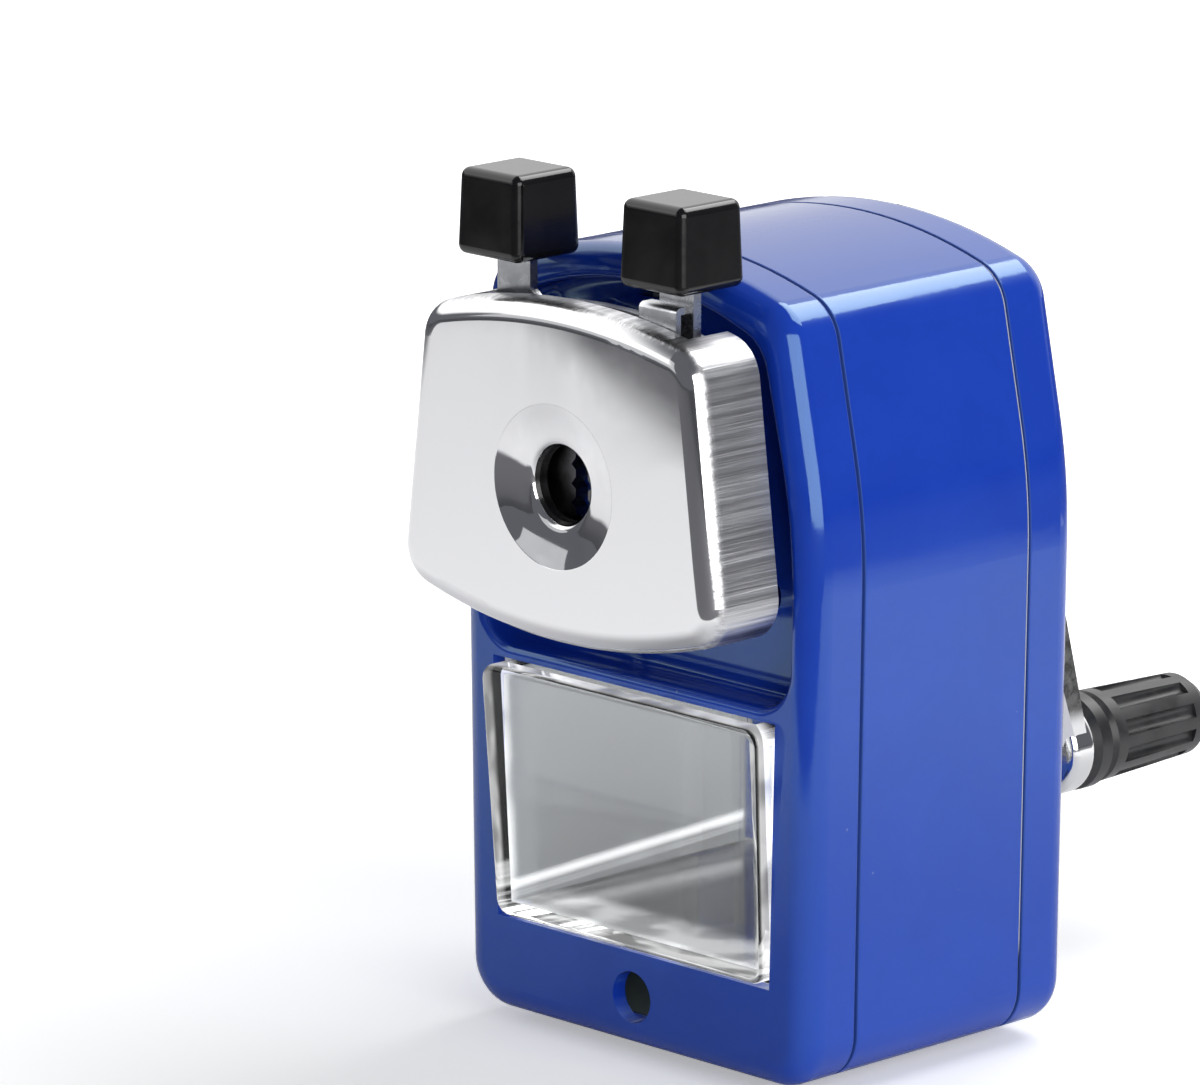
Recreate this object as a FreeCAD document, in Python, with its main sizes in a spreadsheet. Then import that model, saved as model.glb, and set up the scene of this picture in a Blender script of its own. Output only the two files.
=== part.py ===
import FreeCAD, Part
import Sketcher
import math
import os
import re

# Desk pencil sharpener with a hand crank: a three-piece painted casing, a clear shavings drawer, a
# sprung faceplate on guide rods that grips the pencil, and a cutter cartridge turned by the crank.
# Frame: z up from the underside of the base, the pencil goes in along +y, x is to the right.

doc = FreeCAD.newDocument("crank_pencil_sharpener")
sizes = doc.addObject("Spreadsheet::Sheet", "sizes")
table = [
    # casing
    ("side_room", 11.35), ("top_draw", 4.95), ("low_draw", 1.05), ("case_height", 96.3), ("arch_rise", 4.6),
    ("shoulder_height", 67.6), ("pad_height", 1.6), ("pad_inset", 10), ("pad_setback", 9),
    ("sleeve_depth", 27.4),
    ("sleeve_wall", 1.2), ("front_depth", 8.2), ("rear_depth", 8.4), ("cover_wall", 2),
    ("top_corner", 6), ("bottom_corner", 6), ("shoulder_radius", 70), ("cover_edge", 3.2),
    ("rim_width", 3.8), ("rim_corner", 5), ("ledge_drop", 24.4), ("ledge_radius", 2.5),
    ("front_recess", 6), ("rear_recess", 2.6), ("seam_edge", 0.45), ("rim_edge", 0.9),
    # shavings drawer and clamp holes
    ("drawer_width", 45.4), ("drawer_draw", 0.75), ("drawer_base", 13.8), ("lintel", 1.8),
    ("drawer_gap", 0.4),
    ("drawer_wall", 1.6), ("drawer_face", 2.4), ("drawer_proud", 0.9), ("drawer_lean", 1.8),
    ("drawer_inset", 1.5),
    ("drawer_corner", 2), ("drawer_edge", 0.8), ("clamp_height", 7.9), ("clamp_radius", 3.1),
    ("rear_clamp_radius", 3.4),
    # pencil axis, faceplate and its guides
    ("axis_drop", 25.7), ("plate_proud", 12.6), ("plate_depth", 10.4), ("plate_wall", 1.2),
    ("plate_top_width", 44.4), ("plate_low_width", 52.4), ("plate_above", 21), ("plate_below", 18.6),
    ("plate_top_rise", 3), ("plate_low_rise", 4.5), ("plate_corner", 5), ("plate_edge", 2.6),
    ("dimple_radius", 9.6), ("dimple_depth", 2.2), ("dimple_floor", 6.6), ("bush_outer", 6),
    ("pencil_radius", 4.4), ("back_thick", 1.4), ("back_setback", 0.8), ("notch_half", 17.5),
    ("notch_depth", 6.2),
    ("rod_radius", 1.9), ("rod_side", 15.8), ("rod_inset", 1.2), ("rod_short", 3), ("guide_gap", 0.4),
    ("rail_width", 9), ("rail_rise", 15.9), ("rail_high", 3.4), ("rail_sheet", 1), ("rail_short", 6.8),
    ("bracket_thick", 1.4), ("clip_thick", 0.8), ("clip_radius", 3), ("clip_groove", 0.4),
    # gripping levers
    ("lever_thick", 1.2), ("lever_gap", 0.4), ("strip_width", 5.4), ("knob_side", 13.2),
    ("knob_size", 10.4), ("knob_high", 10.1), ("knob_draft", 1.8), ("knob_rise", 11.8),
    ("knob_shift", -0.2),
    ("knob_round", 1.1), ("pivot_side", 9.5),
    ("pivot_rise", 12.3), ("pivot_radius", 1.5), ("pivot_boss", 3.4), ("run_gap", 0.05),
    ("jaw_gap", 1), ("jaw_thick", 2), ("jaw_high", 9), ("jaw_width", 5), ("tooth_depth", 0.7),
    # cutter cartridge
    ("ring_radius", 17.8), ("ring_deep", 5.8), ("ring_gap", 0.3), ("ring_notches", 26),
    ("notch_radius", 0.85), ("tube_radius", 16.4), ("tube_wall", 1.8), ("tube_skirt", 6.3),
    ("tube_gap", 0.4), ("lug_high", 1.7), ("lug_thick", 2), ("lug_half", 3), ("dish_radius", 13.4),
    ("dish_depth", 3.4), ("wall_thick", 4.6), ("bush_radius", 5.2), ("shaft_radius", 3),
    # cutter, gears and carrier
    ("taper", 12), ("tip_deep", 8.2), ("cutter_radius", 6), ("cutter_gap", 0.2), ("cutter_short", 3),
    ("cutter_teeth", 20), ("flute_depth", 0.8), ("cutter_twist", 75), ("pin_radius", 1.5),
    ("pin_tail", 1.4), ("pin_short", 0.3), ("gear_set", 2.1), ("pinion_teeth", 12),
    ("gear_ratio", 2), ("tooth_share", 0.42), ("addendum", 0.03), ("dedendum", 0.042),
    ("carrier_radius", 13.4), ("carrier_gap", 0.6), ("carrier_hub", 7.3), ("flange_gap", 0.8),
    ("flange_thick", 1.6),
    ("cutter_room", 0.6), ("gear_wide", 3.6), ("hub_radius", 4.2), ("pencil_room", 4.7),
    # crank
    ("cap_radius", 12.5), ("cap_gap", 0.4), ("cap_edge", 1.6), ("cap_cone", 6.6), ("cap_wall", 1.2),
    ("boss_radius", 8), ("arm_length", 45.5), ("arm_end", 6), ("arm_wide", 6.6), ("arm_narrow", 5.4),
    ("arm_thick", 4.4), ("arm_lean", 12.3), ("arm_round", 1.2), ("boss_high", 8.3), ("shaft_sink", 3.6),
    ("collar_radius", 6), ("collar_high", 2.6), ("collar_gap", 0.3), ("grip_radius", 5.7),
    ("grip_end", 5.1),
    ("grip_length", 18.8),
    ("flute_count", 10), ("flute_radius", 1), ("axle_radius", 2.4), ("plug_radius", 3.2),
    ("plug_depth", 2), ("axle_head", 2.8), ("head_thick", 1.1),
    # fasteners
    ("screw_gap", 1.7), ("screw_drop", 7.5), ("screw_radius", 1.6), ("head_radius", 2.7),
    ("head_high", 1.6), ("bore_radius", 3.4), ("bore_depth", 1), ("screw_length", 9),
    ("foot_screw_side", 13), ("post_radius", 2.7), ("foot_head", 1.2), ("foot_screw_length", 6),
    # springs
    ("feed_wire", 0.35), ("feed_turns", 7), ("feed_room", 0.4), ("lever_wire", 0.3), ("lever_turns", 6),
    ("lever_coil", 1.2), ("lever_spring_rise", 3), ("lever_spring_set", 1.7),
]
words = dict(table)
for row, (word, value) in enumerate(table, 1):
    sizes.set("A%d" % row, word)
    sizes.set("B%d" % row, str(value))
    sizes.setAlias("B%d" % row, word)
doc.recompute()


# Places worked out from the sizes: heights up from the base, depths to the rear of the casing's middle.
places = {
    "case_width": "2*(ring_radius + side_room)",
    "case_top_width": "case_width - 2*top_draw",
    "case_low_width": "case_width - 2*low_draw",
    "axis_height": "case_height - axis_drop",
    "ledge_height": "axis_height - ledge_drop",
    "drawer_top": "ledge_height - lintel",
    "front_panel": "sleeve_depth/2 + front_depth",
    "front_floor": "front_panel - front_recess",
    "rear_panel": "sleeve_depth/2 + rear_depth",
    "rear_floor": "rear_panel - rear_recess",
    "rear_inside": "rear_floor - cover_wall",
    "plate_front": "front_panel + plate_proud",
    "plate_top": "axis_height + plate_above",
    "plate_low": "axis_height - plate_below",
    "rod_height": "plate_low + plate_low_rise + rod_inset",
    "rod_end": "rear_inside - rod_short",
    "rail_base": "axis_height + rail_rise",
    "rail_end": "rear_inside - rail_short",
    "pivot_height": "axis_height + pivot_rise",
    "knob_base": "pivot_height + knob_rise",
    "lever_spring_high": "pivot_height + lever_spring_rise",
    "screw_height": "axis_height - screw_drop",
    "screw_side": "sqrt((ring_radius + head_radius + screw_gap)^2 - screw_drop^2)",
    "ring_front": "rear_floor + ring_gap",
    "ring_rear": "ring_front + ring_deep",
    "dish_floor": "ring_rear - dish_depth",
    "bush_front": "dish_floor - wall_thick",
    "tube_front": "bush_front - tube_skirt",
    "carrier_rear": "bush_front - flange_gap - flange_thick",
    "carrier_front": "sleeve_depth/2 - bracket_thick - carrier_gap",
    "tip_set": "carrier_rear - tip_deep",
    "apex": "tip_set + cutter_radius/sin(taper)",
    "gear_rear": "(apex - carrier_rear)/cos(taper) + gear_set",
    "gear_front": "gear_rear + gear_wide",
    "cutter_rear": "gear_front + cutter_gap",
    "pin_rear": "gear_rear - pin_tail",
    "pin_front": "(apex + carrier_front)/cos(taper) - pin_short",
    "cutter_front": "pin_front - cutter_short",
    "cap_seat": "dish_floor + cap_gap",
}


def bound(text):
    """Turn a formula in plain names of sizes and places into one that points at the sheet."""
    def spell(found):
        word = found.group()
        if word in places:
            return "(%s)" % bound(places[word])
        return "sizes." + word if word in words else word
    return re.sub(r"[a-z_]+", spell, text)


def value(text):
    """Work out such a formula as a number."""
    answer = sizes.evalExpression(bound(text))
    return float(getattr(answer, "Value", answer))


pieces = []


def piece(name, high=None, across=None, keep=True):
    """Start one separate physical piece, drawn about its own centre line where it has one."""
    body = doc.addObject("PartDesign::Body", name)
    body.Label = name
    if high:
        body.setExpression("Placement.Base.z", bound(high))
    if across:
        body.setExpression("Placement.Base.x", bound(across))
    if keep:
        pieces.append(body)
    return body


def group(name, members):
    """Keep like fasteners together as separate solids under one name."""
    together = doc.addObject("Part::Compound", name)
    together.Label = name
    together.Links = members
    pieces.append(together)
    doc.recompute()
    return together


def sketch(body, plane, loops, offset=None):
    """Draw closed loops of (across, up) formulas; a third entry bends the next side to that radius."""
    drawn = body.newObject("Sketcher::SketchObject", body.Name + "_sketch")
    base = [f for f in body.Origin.OriginFeatures if f.Role == plane][0]
    drawn.AttachmentSupport = [(base, "")]
    drawn.MapMode = "FlatFace"
    if offset:
        drawn.setExpression("AttachmentOffset.Base.z", bound(offset))

    def pin(kind, geo, end, text, axis):
        if text == "0":
            drawn.addConstraint(Sketcher.Constraint("PointOnObject", geo, end, axis))
            return
        number = drawn.addConstraint(Sketcher.Constraint(kind, -1, 1, geo, end, value(text)))
        drawn.setExpression("Constraints[%d]" % number, bound(text))

    for loop in loops:
        if loop[0] == "circle":
            centre = FreeCAD.Vector(value(loop[1]), value(loop[2]), 0)
            ring = Part.Circle(centre, FreeCAD.Vector(0, 0, 1), value(loop[3]))
            geo = drawn.addGeometry(ring)
            pin("DistanceX", geo, 3, loop[1], -2)
            pin("DistanceY", geo, 3, loop[2], -1)
            number = drawn.addConstraint(Sketcher.Constraint("Radius", geo, value(loop[3])))
            drawn.setExpression("Constraints[%d]" % number, bound(loop[3]))
            continue
        spots = [FreeCAD.Vector(value(p[0]), value(p[1]), 0) for p in loop]
        first = drawn.GeometryCount
        count = len(loop)
        ends = []
        for i, spot in enumerate(loop):
            here = spots[i]
            there = spots[(i + 1) % count]
            if len(spot) == 3:
                radius = value(spot[2])
                middle = (here + there) * 0.5
                half = (there - here) * 0.5
                reach = math.sqrt(max(radius * radius - half.Length * half.Length, 0.0))
                side = FreeCAD.Vector(-half.y, half.x, 0).normalize()
                centre = middle + side * reach
                bow = middle - side * (abs(radius) - reach) * (1 if radius > 0 else -1)
                if radius < 0:
                    centre = middle - side * reach
                    bow = middle + side * (abs(radius) - reach)
                arc = Part.Arc(here, bow, there)
                drawn.addGeometry(arc)
                turned = (drawn.Geometry[first + i].StartPoint - here).Length < 1e-6
                ends.append((1, 2) if turned else (2, 1))
            else:
                drawn.addGeometry(Part.LineSegment(here, there))
                ends.append((1, 2))
        for i in range(count):
            after = (i + 1) % count
            drawn.addConstraint(
                Sketcher.Constraint("Coincident", first + i, ends[i][1], first + after, ends[after][0]))
        for i, spot in enumerate(loop):
            pin("DistanceX", first + i, ends[i][0], spot[0], -2)
            pin("DistanceY", first + i, ends[i][0], spot[1], -1)
        for i, spot in enumerate(loop):
            if len(spot) == 3:
                number = drawn.addConstraint(
                    Sketcher.Constraint("Radius", first + i, abs(value(spot[2]))))
                drawn.setExpression("Constraints[%d]" % number, bound("abs(%s)" % spot[2]))
    doc.recompute()
    return drawn


def solid_after(body, feature):
    """Recompute and make sure that the step changed the piece and left one sound solid."""
    doc.recompute()
    if "Invalid" in feature.State or "Error" in feature.State or not feature.Shape.isValid():
        raise RuntimeError("%s: %s failed" % (body.Name, feature.Name))
    return feature


def pad(body, drawn, length, backward=False, middle=False):
    """Raise a sketch to a length."""
    step = body.newObject("PartDesign::Pad", body.Name + "_pad")
    step.Profile = drawn
    step.setExpression("Length", bound(length))
    step.Reversed = backward
    if middle:
        step.SideType = "Symmetric"
    return solid_after(body, step)


def pocket(body, drawn, length=None, backward=False, middle=False):
    """Cut a sketch into the piece, to a depth or right through."""
    before = body.Shape.Volume
    step = body.newObject("PartDesign::Pocket", body.Name + "_pocket")
    step.Profile = drawn
    if length:
        step.setExpression("Length", bound(length))
    else:
        step.Type = "ThroughAll"
    step.Reversed = backward
    if middle:
        step.SideType = "Symmetric"
    solid_after(body, step)
    if step.Shape.Volume > before - 1e-6:
        raise RuntimeError("%s: a pocket cut nothing" % body.Name)
    return step


def turn(body, drawn, cut=False, axis="H_Axis"):
    """Turn a half section about the piece's centre line."""
    kind = "PartDesign::Groove" if cut else "PartDesign::Revolution"
    step = body.newObject(kind, body.Name + "_turn")
    step.Profile = drawn
    step.ReferenceAxis = (drawn, [axis])
    step.Angle = 360
    return solid_after(body, step)


def soften(body, edges, radius, bevel=False):
    """Round or bevel the edges of the piece that pass a test."""
    tip = body.Tip
    names = ["Edge%d" % i for i, edge in enumerate(tip.Shape.Edges, 1) if edges(edge)]
    if not names:
        raise RuntimeError("%s: no edge to soften" % body.Name)
    step = body.newObject("PartDesign::Chamfer" if bevel else "PartDesign::Fillet", body.Name + "_edge")
    step.Base = (tip, names)
    step.setExpression("Size" if bevel else "Radius", bound(radius))
    return solid_after(body, step)


def repeat(body, step, count, axis="Y_Axis"):
    """Repeat a step evenly round the piece's centre line."""
    pattern = body.newObject("PartDesign::PolarPattern", body.Name + "_pattern")
    pattern.Originals = [step]
    line = [f for f in body.Origin.OriginFeatures if f.Role == axis][0]
    pattern.Axis = (line, [""])
    pattern.Angle = 360
    pattern.setExpression("Occurrences", bound(count))
    body.Tip = pattern
    return solid_after(body, pattern)


def lengthwise(edge):
    """A straight edge that runs from front to rear."""
    if edge.Curve.TypeId != "Part::GeomLine":
        return False
    return abs(abs(edge.Curve.Direction.y) - 1) < 1e-6


def at_depth(edge, depth):
    """An edge that lies wholly in one upright plane across the piece."""
    return abs(edge.BoundBox.YMin - depth) < 1e-4 and abs(edge.BoundBox.YMax - depth) < 1e-4


def runs_at(edge, side, high):
    """A front-to-rear edge at a given distance to either side and a given height."""
    box = edge.BoundBox
    return lengthwise(edge) and abs(abs(box.XMin) - value(side)) < 0.01 and abs(box.ZMin - value(high)) < 0.01


def side_at(high):
    """Half the casing's width at a height below its shoulder."""
    return ("(case_width/2 - (case_width - case_low_width)/2*(shoulder_height - (%s))"
            "/(shoulder_height - pad_height))" % high)


def case_loop(inset, low):
    """The casing's front outline, drawn in all round: sides that spread to a rounded shoulder, a taper
    above it and an arched crown."""
    half_top = "case_top_width/2 - (%s)" % inset
    half = "case_width/2 - (%s)" % inset
    half_low = "%s - (%s)" % (side_at(low), inset)
    corner = "case_height - (%s) - arch_rise" % inset
    bend = "((%s)^2 + arch_rise^2)/(2*arch_rise)" % half_top
    spread = "atan((case_width - case_low_width)/2/(shoulder_height - pad_height))"
    lean = "atan((case_width - case_top_width)/2/(%s - shoulder_height))" % corner
    reach = "(shoulder_radius*tan((%s + %s)/2))" % (spread, lean)
    near = "%s - %s*sin(%s)" % (half, reach, spread)
    start = "shoulder_height - %s*cos(%s)" % (reach, spread)
    far = "%s - %s*sin(%s)" % (half, reach, lean)
    end = "shoulder_height + %s*cos(%s)" % (reach, lean)
    return [("-(%s)" % half_low, low), (half_low, low), (near, start, "shoulder_radius"), (far, end),
            (half_top, corner, bend), ("-(%s)" % half_top, corner), ("-(%s)" % far, end, "shoulder_radius"),
            ("-(%s)" % near, start)]


def box_loop(half, low, high):
    """A rectangle centred from side to side."""
    return [("-(%s)" % half, low), (half, low), (half, high), ("-(%s)" % half, high)]


def drawer_loop(gap):
    """The drawer's front outline with a gap all round it, a little narrower towards its base."""
    low = "drawer_width/2 - drawer_draw + (%s)" % gap
    top = "drawer_width/2 + (%s)" % gap
    return [("-(%s)" % low, "drawer_base - (%s)" % gap), (low, "drawer_base - (%s)" % gap),
            (top, "drawer_top + (%s)" % gap), ("-(%s)" % top, "drawer_top + (%s)" % gap)]


front_seam = "sleeve_depth/2"
front_panel = "front_panel"
front_floor = "front_floor"
rear_panel = "rear_panel"
rear_floor = "rear_floor"


def round_case(body):
    """Round the casing's four long corners."""
    soften(body, lambda e: runs_at(e, "case_top_width/2", "case_height - arch_rise"), "top_corner")
    soften(body, lambda e: runs_at(e, side_at("pad_height"), "pad_height"), "bottom_corner")


def facing(body, edge, outward, depth):
    """An edge in one upright plane with the piece's own material on its inner side, or its outer side."""
    if not at_depth(edge, depth):
        return False
    spot = edge.valueAt((edge.FirstParameter + edge.LastParameter) / 2)
    inner = FreeCAD.Vector(-spot.x, 0, value("axis_height") * 0.9 - spot.z).normalize() * 0.3
    under = FreeCAD.Vector(0, -0.1 if depth > 0 else 0.1, 0)
    return body.Tip.Shape.isInside(spot + inner + under, 1e-6, False) == outward


# Centre sleeve: sheet metal bent round into one band, open to the front and the rear.
sleeve = piece("body_sleeve")
pad(sleeve, sketch(sleeve, "XZ_Plane", [case_loop("0", "pad_height")]), "sleeve_depth", middle=True)
hollow = sketch(sleeve, "XZ_Plane", [case_loop("sleeve_wall", "pad_height + sleeve_wall")])
pocket(sleeve, hollow, "sleeve_depth + 2", middle=True)
soften(sleeve, lambda e: runs_at(e, side_at("pad_height + sleeve_wall") + " - sleeve_wall",
                                 "pad_height + sleeve_wall"),
       "bottom_corner - sleeve_wall")
soften(sleeve, lambda e: runs_at(e, "case_top_width/2 - sleeve_wall",
                                 "case_height - sleeve_wall - arch_rise"),
       "top_corner - sleeve_wall")
round_case(sleeve)
soften(sleeve, lambda e: facing(sleeve, e, True, value(front_seam))
       or facing(sleeve, e, True, -value(front_seam)),
       "seam_edge")

# Front cover: a casting with a deep recess for the faceplate above and the drawer's mouth below.
front = piece("front_cover")
pad(front, sketch(front, "XZ_Plane", [case_loop("0", "pad_height")], front_seam), "front_depth")
round_case(front)
soften(front, lambda e: at_depth(e, -value(front_panel)), "cover_edge")
soften(front, lambda e: at_depth(e, -value(front_seam)), "seam_edge")
recess = sketch(front, "XZ_Plane", [case_loop("rim_width", "ledge_height")], front_panel)
pocket(front, recess, "front_recess")
soften(front, lambda e: runs_at(e, side_at("ledge_height") + " - rim_width", "ledge_height")
       or runs_at(e, "case_top_width/2 - rim_width", "case_height - rim_width - arch_rise"), "rim_corner")
soften(front, lambda e: at_depth(e, -value(front_floor)), "ledge_radius")
soften(front, lambda e: facing(front, e, False, -value(front_panel)), "rim_edge")
inside = sketch(front, "XZ_Plane", [box_loop("drawer_width/2 + drawer_gap + 0.6",
                                             "pad_height + sleeve_wall",
                                             "drawer_top + drawer_gap")], front_seam)
pocket(front, inside, "front_depth - cover_wall", backward=True)
mouth = sketch(front, "XZ_Plane", [drawer_loop("drawer_gap")], front_panel)
pocket(front, mouth)
ways = sketch(front, "XZ_Plane", [
    ("circle", "0", "clamp_height", "clamp_radius"),
    ("circle", "0", "axis_height", "bush_outer + 1"),
    ("circle", "rod_side", "rod_height", "rod_radius + guide_gap"),
    ("circle", "-rod_side", "rod_height", "rod_radius + guide_gap"),
    box_loop("rail_width/2 + guide_gap", "rail_base - guide_gap", "rail_base + rail_high + guide_gap"),
], front_panel)
pocket(front, ways)

# Rear cover: a shallower recess round the cartridge, the drawer's window, clamp hole and screw bores.
rear = piece("rear_cover")
rear_seam = "-(sleeve_depth/2)"
pad(rear, sketch(rear, "XZ_Plane", [case_loop("0", "pad_height")], rear_seam), "rear_depth", backward=True)
round_case(rear)
soften(rear, lambda e: at_depth(e, value(rear_panel)), "cover_edge")
soften(rear, lambda e: at_depth(e, value(front_seam)), "seam_edge")
hollow = sketch(rear, "XZ_Plane", [case_loop("rim_width", "ledge_height")], "-(%s)" % rear_panel)
pocket(rear, hollow, "rear_recess", backward=True)
soften(rear, lambda e: runs_at(e, side_at("ledge_height") + " - rim_width", "ledge_height")
       or runs_at(e, "case_top_width/2 - rim_width", "case_height - rim_width - arch_rise"), "rim_corner")
soften(rear, lambda e: at_depth(e, value(rear_floor)), "ledge_radius/2")
soften(rear, lambda e: facing(rear, e, False, value(rear_panel)), "rim_edge")
inside = sketch(rear, "XZ_Plane", [box_loop("drawer_width/2 + drawer_gap + 0.6", "pad_height + sleeve_wall",
                                            "drawer_top + drawer_gap")], rear_seam)
pocket(rear, inside, "rear_depth - cover_wall")
chamber = sketch(rear, "XZ_Plane", [case_loop("rim_width", "ledge_height")], rear_seam)
pocket(rear, chamber, "rear_depth - rear_recess - cover_wall")
window = sketch(rear, "XZ_Plane", [box_loop("drawer_width/2 - drawer_inset", "drawer_base + drawer_wall",
                                            "drawer_top - drawer_inset")], rear_seam)
pocket(rear, window)
ways = sketch(rear, "XZ_Plane", [
    ("circle", "0", "clamp_height", "rear_clamp_radius"),
    ("circle", "0", "axis_height", "tube_radius + tube_gap"),
    ("circle", "screw_side", "screw_height", "screw_radius"),
    ("circle", "-screw_side", "screw_height", "screw_radius"),
], rear_seam)
pocket(rear, ways)
sunk = sketch(rear, "XZ_Plane", [
    ("circle", "screw_side", "screw_height", "bore_radius"),
    ("circle", "-screw_side", "screw_height", "bore_radius"),
], "-(%s)" % rear_panel)
pocket(rear, sunk, "rear_recess + bore_depth", backward=True)


def turned_box(angle, half, near, far, high):
    """A short block standing out from a centre at an angle, for bayonet lugs and their ways."""
    loop = []
    for reach, side in ((near, "-(%s)" % half), (far, "-(%s)" % half), (far, half), (near, half)):
        across = "(%s)*cos(%s) - (%s)*sin(%s)" % (reach, angle, side, angle)
        up = "(%s)*sin(%s) + (%s)*cos(%s) + %s" % (reach, angle, side, angle, high)
        loop.append((across, up))
    return loop


for angle in ("90", "210", "330"):
    way = turned_box(angle, "lug_half + tube_gap", "tube_radius - 2", "tube_radius + lug_high + tube_gap",
                     "axis_height")
    pocket(rear, sketch(rear, "XZ_Plane", [way], rear_seam))

# Case pillars: two threaded bars that stand between the covers inside the sleeve.
pillars = []
for side, name in (("screw_side", "right_pillar"), ("-screw_side", "left_pillar")):
    pillar = piece(name, "screw_height", side, keep=False)
    section = [("-(sleeve_depth/2)", "0"), ("-(sleeve_depth/2)", "post_radius"),
               ("rear_inside", "post_radius"),
               ("rear_inside", "screw_radius"), ("rear_inside - screw_length", "screw_radius"),
               ("rear_inside - screw_length", "0")]
    turn(pillar, sketch(pillar, "YZ_Plane", [section]))
    pillars.append(pillar)
group("case_pillars", pillars)

# Case screws: two cross-head screws sunk in the rear cover.
head_seat = "rear_floor - bore_depth"
screws = []
for side, name in (("screw_side", "right_case_screw"), ("-screw_side", "left_case_screw")):
    screw = piece(name, "screw_height", side, keep=False)
    tip_end = "rear_inside - screw_length"
    section = [(tip_end, "0"), (tip_end, "screw_radius"), (head_seat, "screw_radius"),
               (head_seat, "head_radius"), (head_seat + " + head_high*0.5", "head_radius"),
               (head_seat + " + head_high", "head_radius*0.6"), (head_seat + " + head_high", "0")]
    turn(screw, sketch(screw, "YZ_Plane", [section]))
    screws.append(screw)
group("case_screws", screws)

# Base pad: a black slab under the casing, drawn in all round.
base = piece("base_pad")
pad_front = "-(%s - pad_setback)" % front_panel
pad_rear = "%s - pad_setback" % rear_panel
slab = [("-(case_low_width/2 - pad_inset)", pad_front), ("case_low_width/2 - pad_inset", pad_front),
        ("case_low_width/2 - pad_inset", pad_rear), ("-(case_low_width/2 - pad_inset)", pad_rear)]
pad(base, sketch(base, "XY_Plane", [slab]), "pad_height")
soften(base, lambda e: abs(e.BoundBox.ZMax - e.BoundBox.ZMin) > 1, "bottom_corner - 2")
both = [("circle", "foot_screw_side", "0", "screw_radius"),
        ("circle", "-foot_screw_side", "0", "screw_radius")]
pocket(base, sketch(base, "XY_Plane", both), backward=True)
wide = [("circle", "foot_screw_side", "0", "bore_radius"),
        ("circle", "-foot_screw_side", "0", "bore_radius")]
pocket(base, sketch(base, "XY_Plane", wide), "foot_head", backward=True)
pocket(sleeve, sketch(sleeve, "XY_Plane", both), "pad_height + sleeve_wall + 1", backward=True)

feet = []
for side, name in (("foot_screw_side", "right_base_screw"), ("-foot_screw_side", "left_base_screw")):
    screw = piece(name, None, side, keep=False)
    section = [("0", "foot_head - 1"), ("head_radius", "foot_head - 1"), ("head_radius", "foot_head"),
               ("screw_radius", "foot_head"), ("screw_radius", "foot_screw_length"),
               ("0", "foot_screw_length")]
    turn(screw, sketch(screw, "XZ_Plane", [section]), axis="V_Axis")
    feet.append(screw)
group("base_screws", feet)

# Shavings drawer: a clear open box with a thick front, drawn out towards the user.
drawer = piece("drawer")
drawer_nose = front_panel + " + drawer_proud"
drawer_tail = "sleeve_depth/2 + rear_depth - cover_wall - drawer_gap"
drawer_lip = drawer_nose + " + drawer_lean"
block = sketch(drawer, "XZ_Plane", [drawer_loop("0")], drawer_lip)
pad(drawer, block, "%s + %s" % (drawer_lip, drawer_tail), backward=True)
soften(drawer, lengthwise, "drawer_corner")
rake = [("-(%s + 1)" % drawer_lip, "drawer_base"), ("-(%s)" % drawer_nose, "drawer_base"),
        ("-(%s)" % drawer_lip, "drawer_top"), ("-(%s + 1)" % drawer_lip, "drawer_top")]
pocket(drawer, sketch(drawer, "YZ_Plane", [rake]), "drawer_width + 2", middle=True)
soften(drawer, lambda e: e.BoundBox.YMax < -value(front_panel + " + drawer_proud/2"), "drawer_edge")
well = [("-(%s - drawer_face)" % drawer_nose, "drawer_base + drawer_wall"),
        ("%s - drawer_wall" % drawer_tail, "drawer_base + drawer_wall"),
        ("%s - drawer_wall" % drawer_tail, "drawer_top"),
        ("-(%s - drawer_face)" % drawer_lip, "drawer_top")]
pocket(drawer, sketch(drawer, "YZ_Plane", [well]), "drawer_width - 2*drawer_draw - 2*drawer_wall",
       middle=True)

# Front bush: a flanged ring that leads the pencil through the front cover.
ring = piece("front_bush", "axis_height")
section = [("-(%s + 1)" % front_floor, "pencil_radius + 0.9"),
           ("-(%s + 1)" % front_floor, "bush_outer + 2"),
           ("-(%s)" % front_floor, "bush_outer + 2"), ("-(%s)" % front_floor, "bush_outer + 1"),
           ("-(sleeve_depth/2 - bracket_thick)", "bush_outer + 1"),
           ("-(sleeve_depth/2 - bracket_thick)", "pencil_radius + 0.5"),
           ("-(%s)" % front_floor, "pencil_radius + 0.5")]
turn(ring, sketch(ring, "YZ_Plane", [section]))

# Guide bracket: a stamped plate behind the front cover that steadies the rods and the rail.
bracket = piece("guide_bracket")
stamping = sketch(bracket, "XZ_Plane", [
    case_loop("rim_width", "ledge_height + cover_wall"),
    ("circle", "0", "axis_height", "bush_outer + 1"),
    ("circle", "rod_side", "rod_height", "rod_radius + guide_gap"),
    ("circle", "-rod_side", "rod_height", "rod_radius + guide_gap"),
    ("circle", "screw_side", "screw_height", "post_radius"),
    ("circle", "-screw_side", "screw_height", "post_radius"),
    box_loop("rail_width/2 + guide_gap", "rail_base - guide_gap", "rail_base + rail_high + guide_gap"),
], front_seam)
pad(bracket, stamping, "bracket_thick", backward=True)

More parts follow.
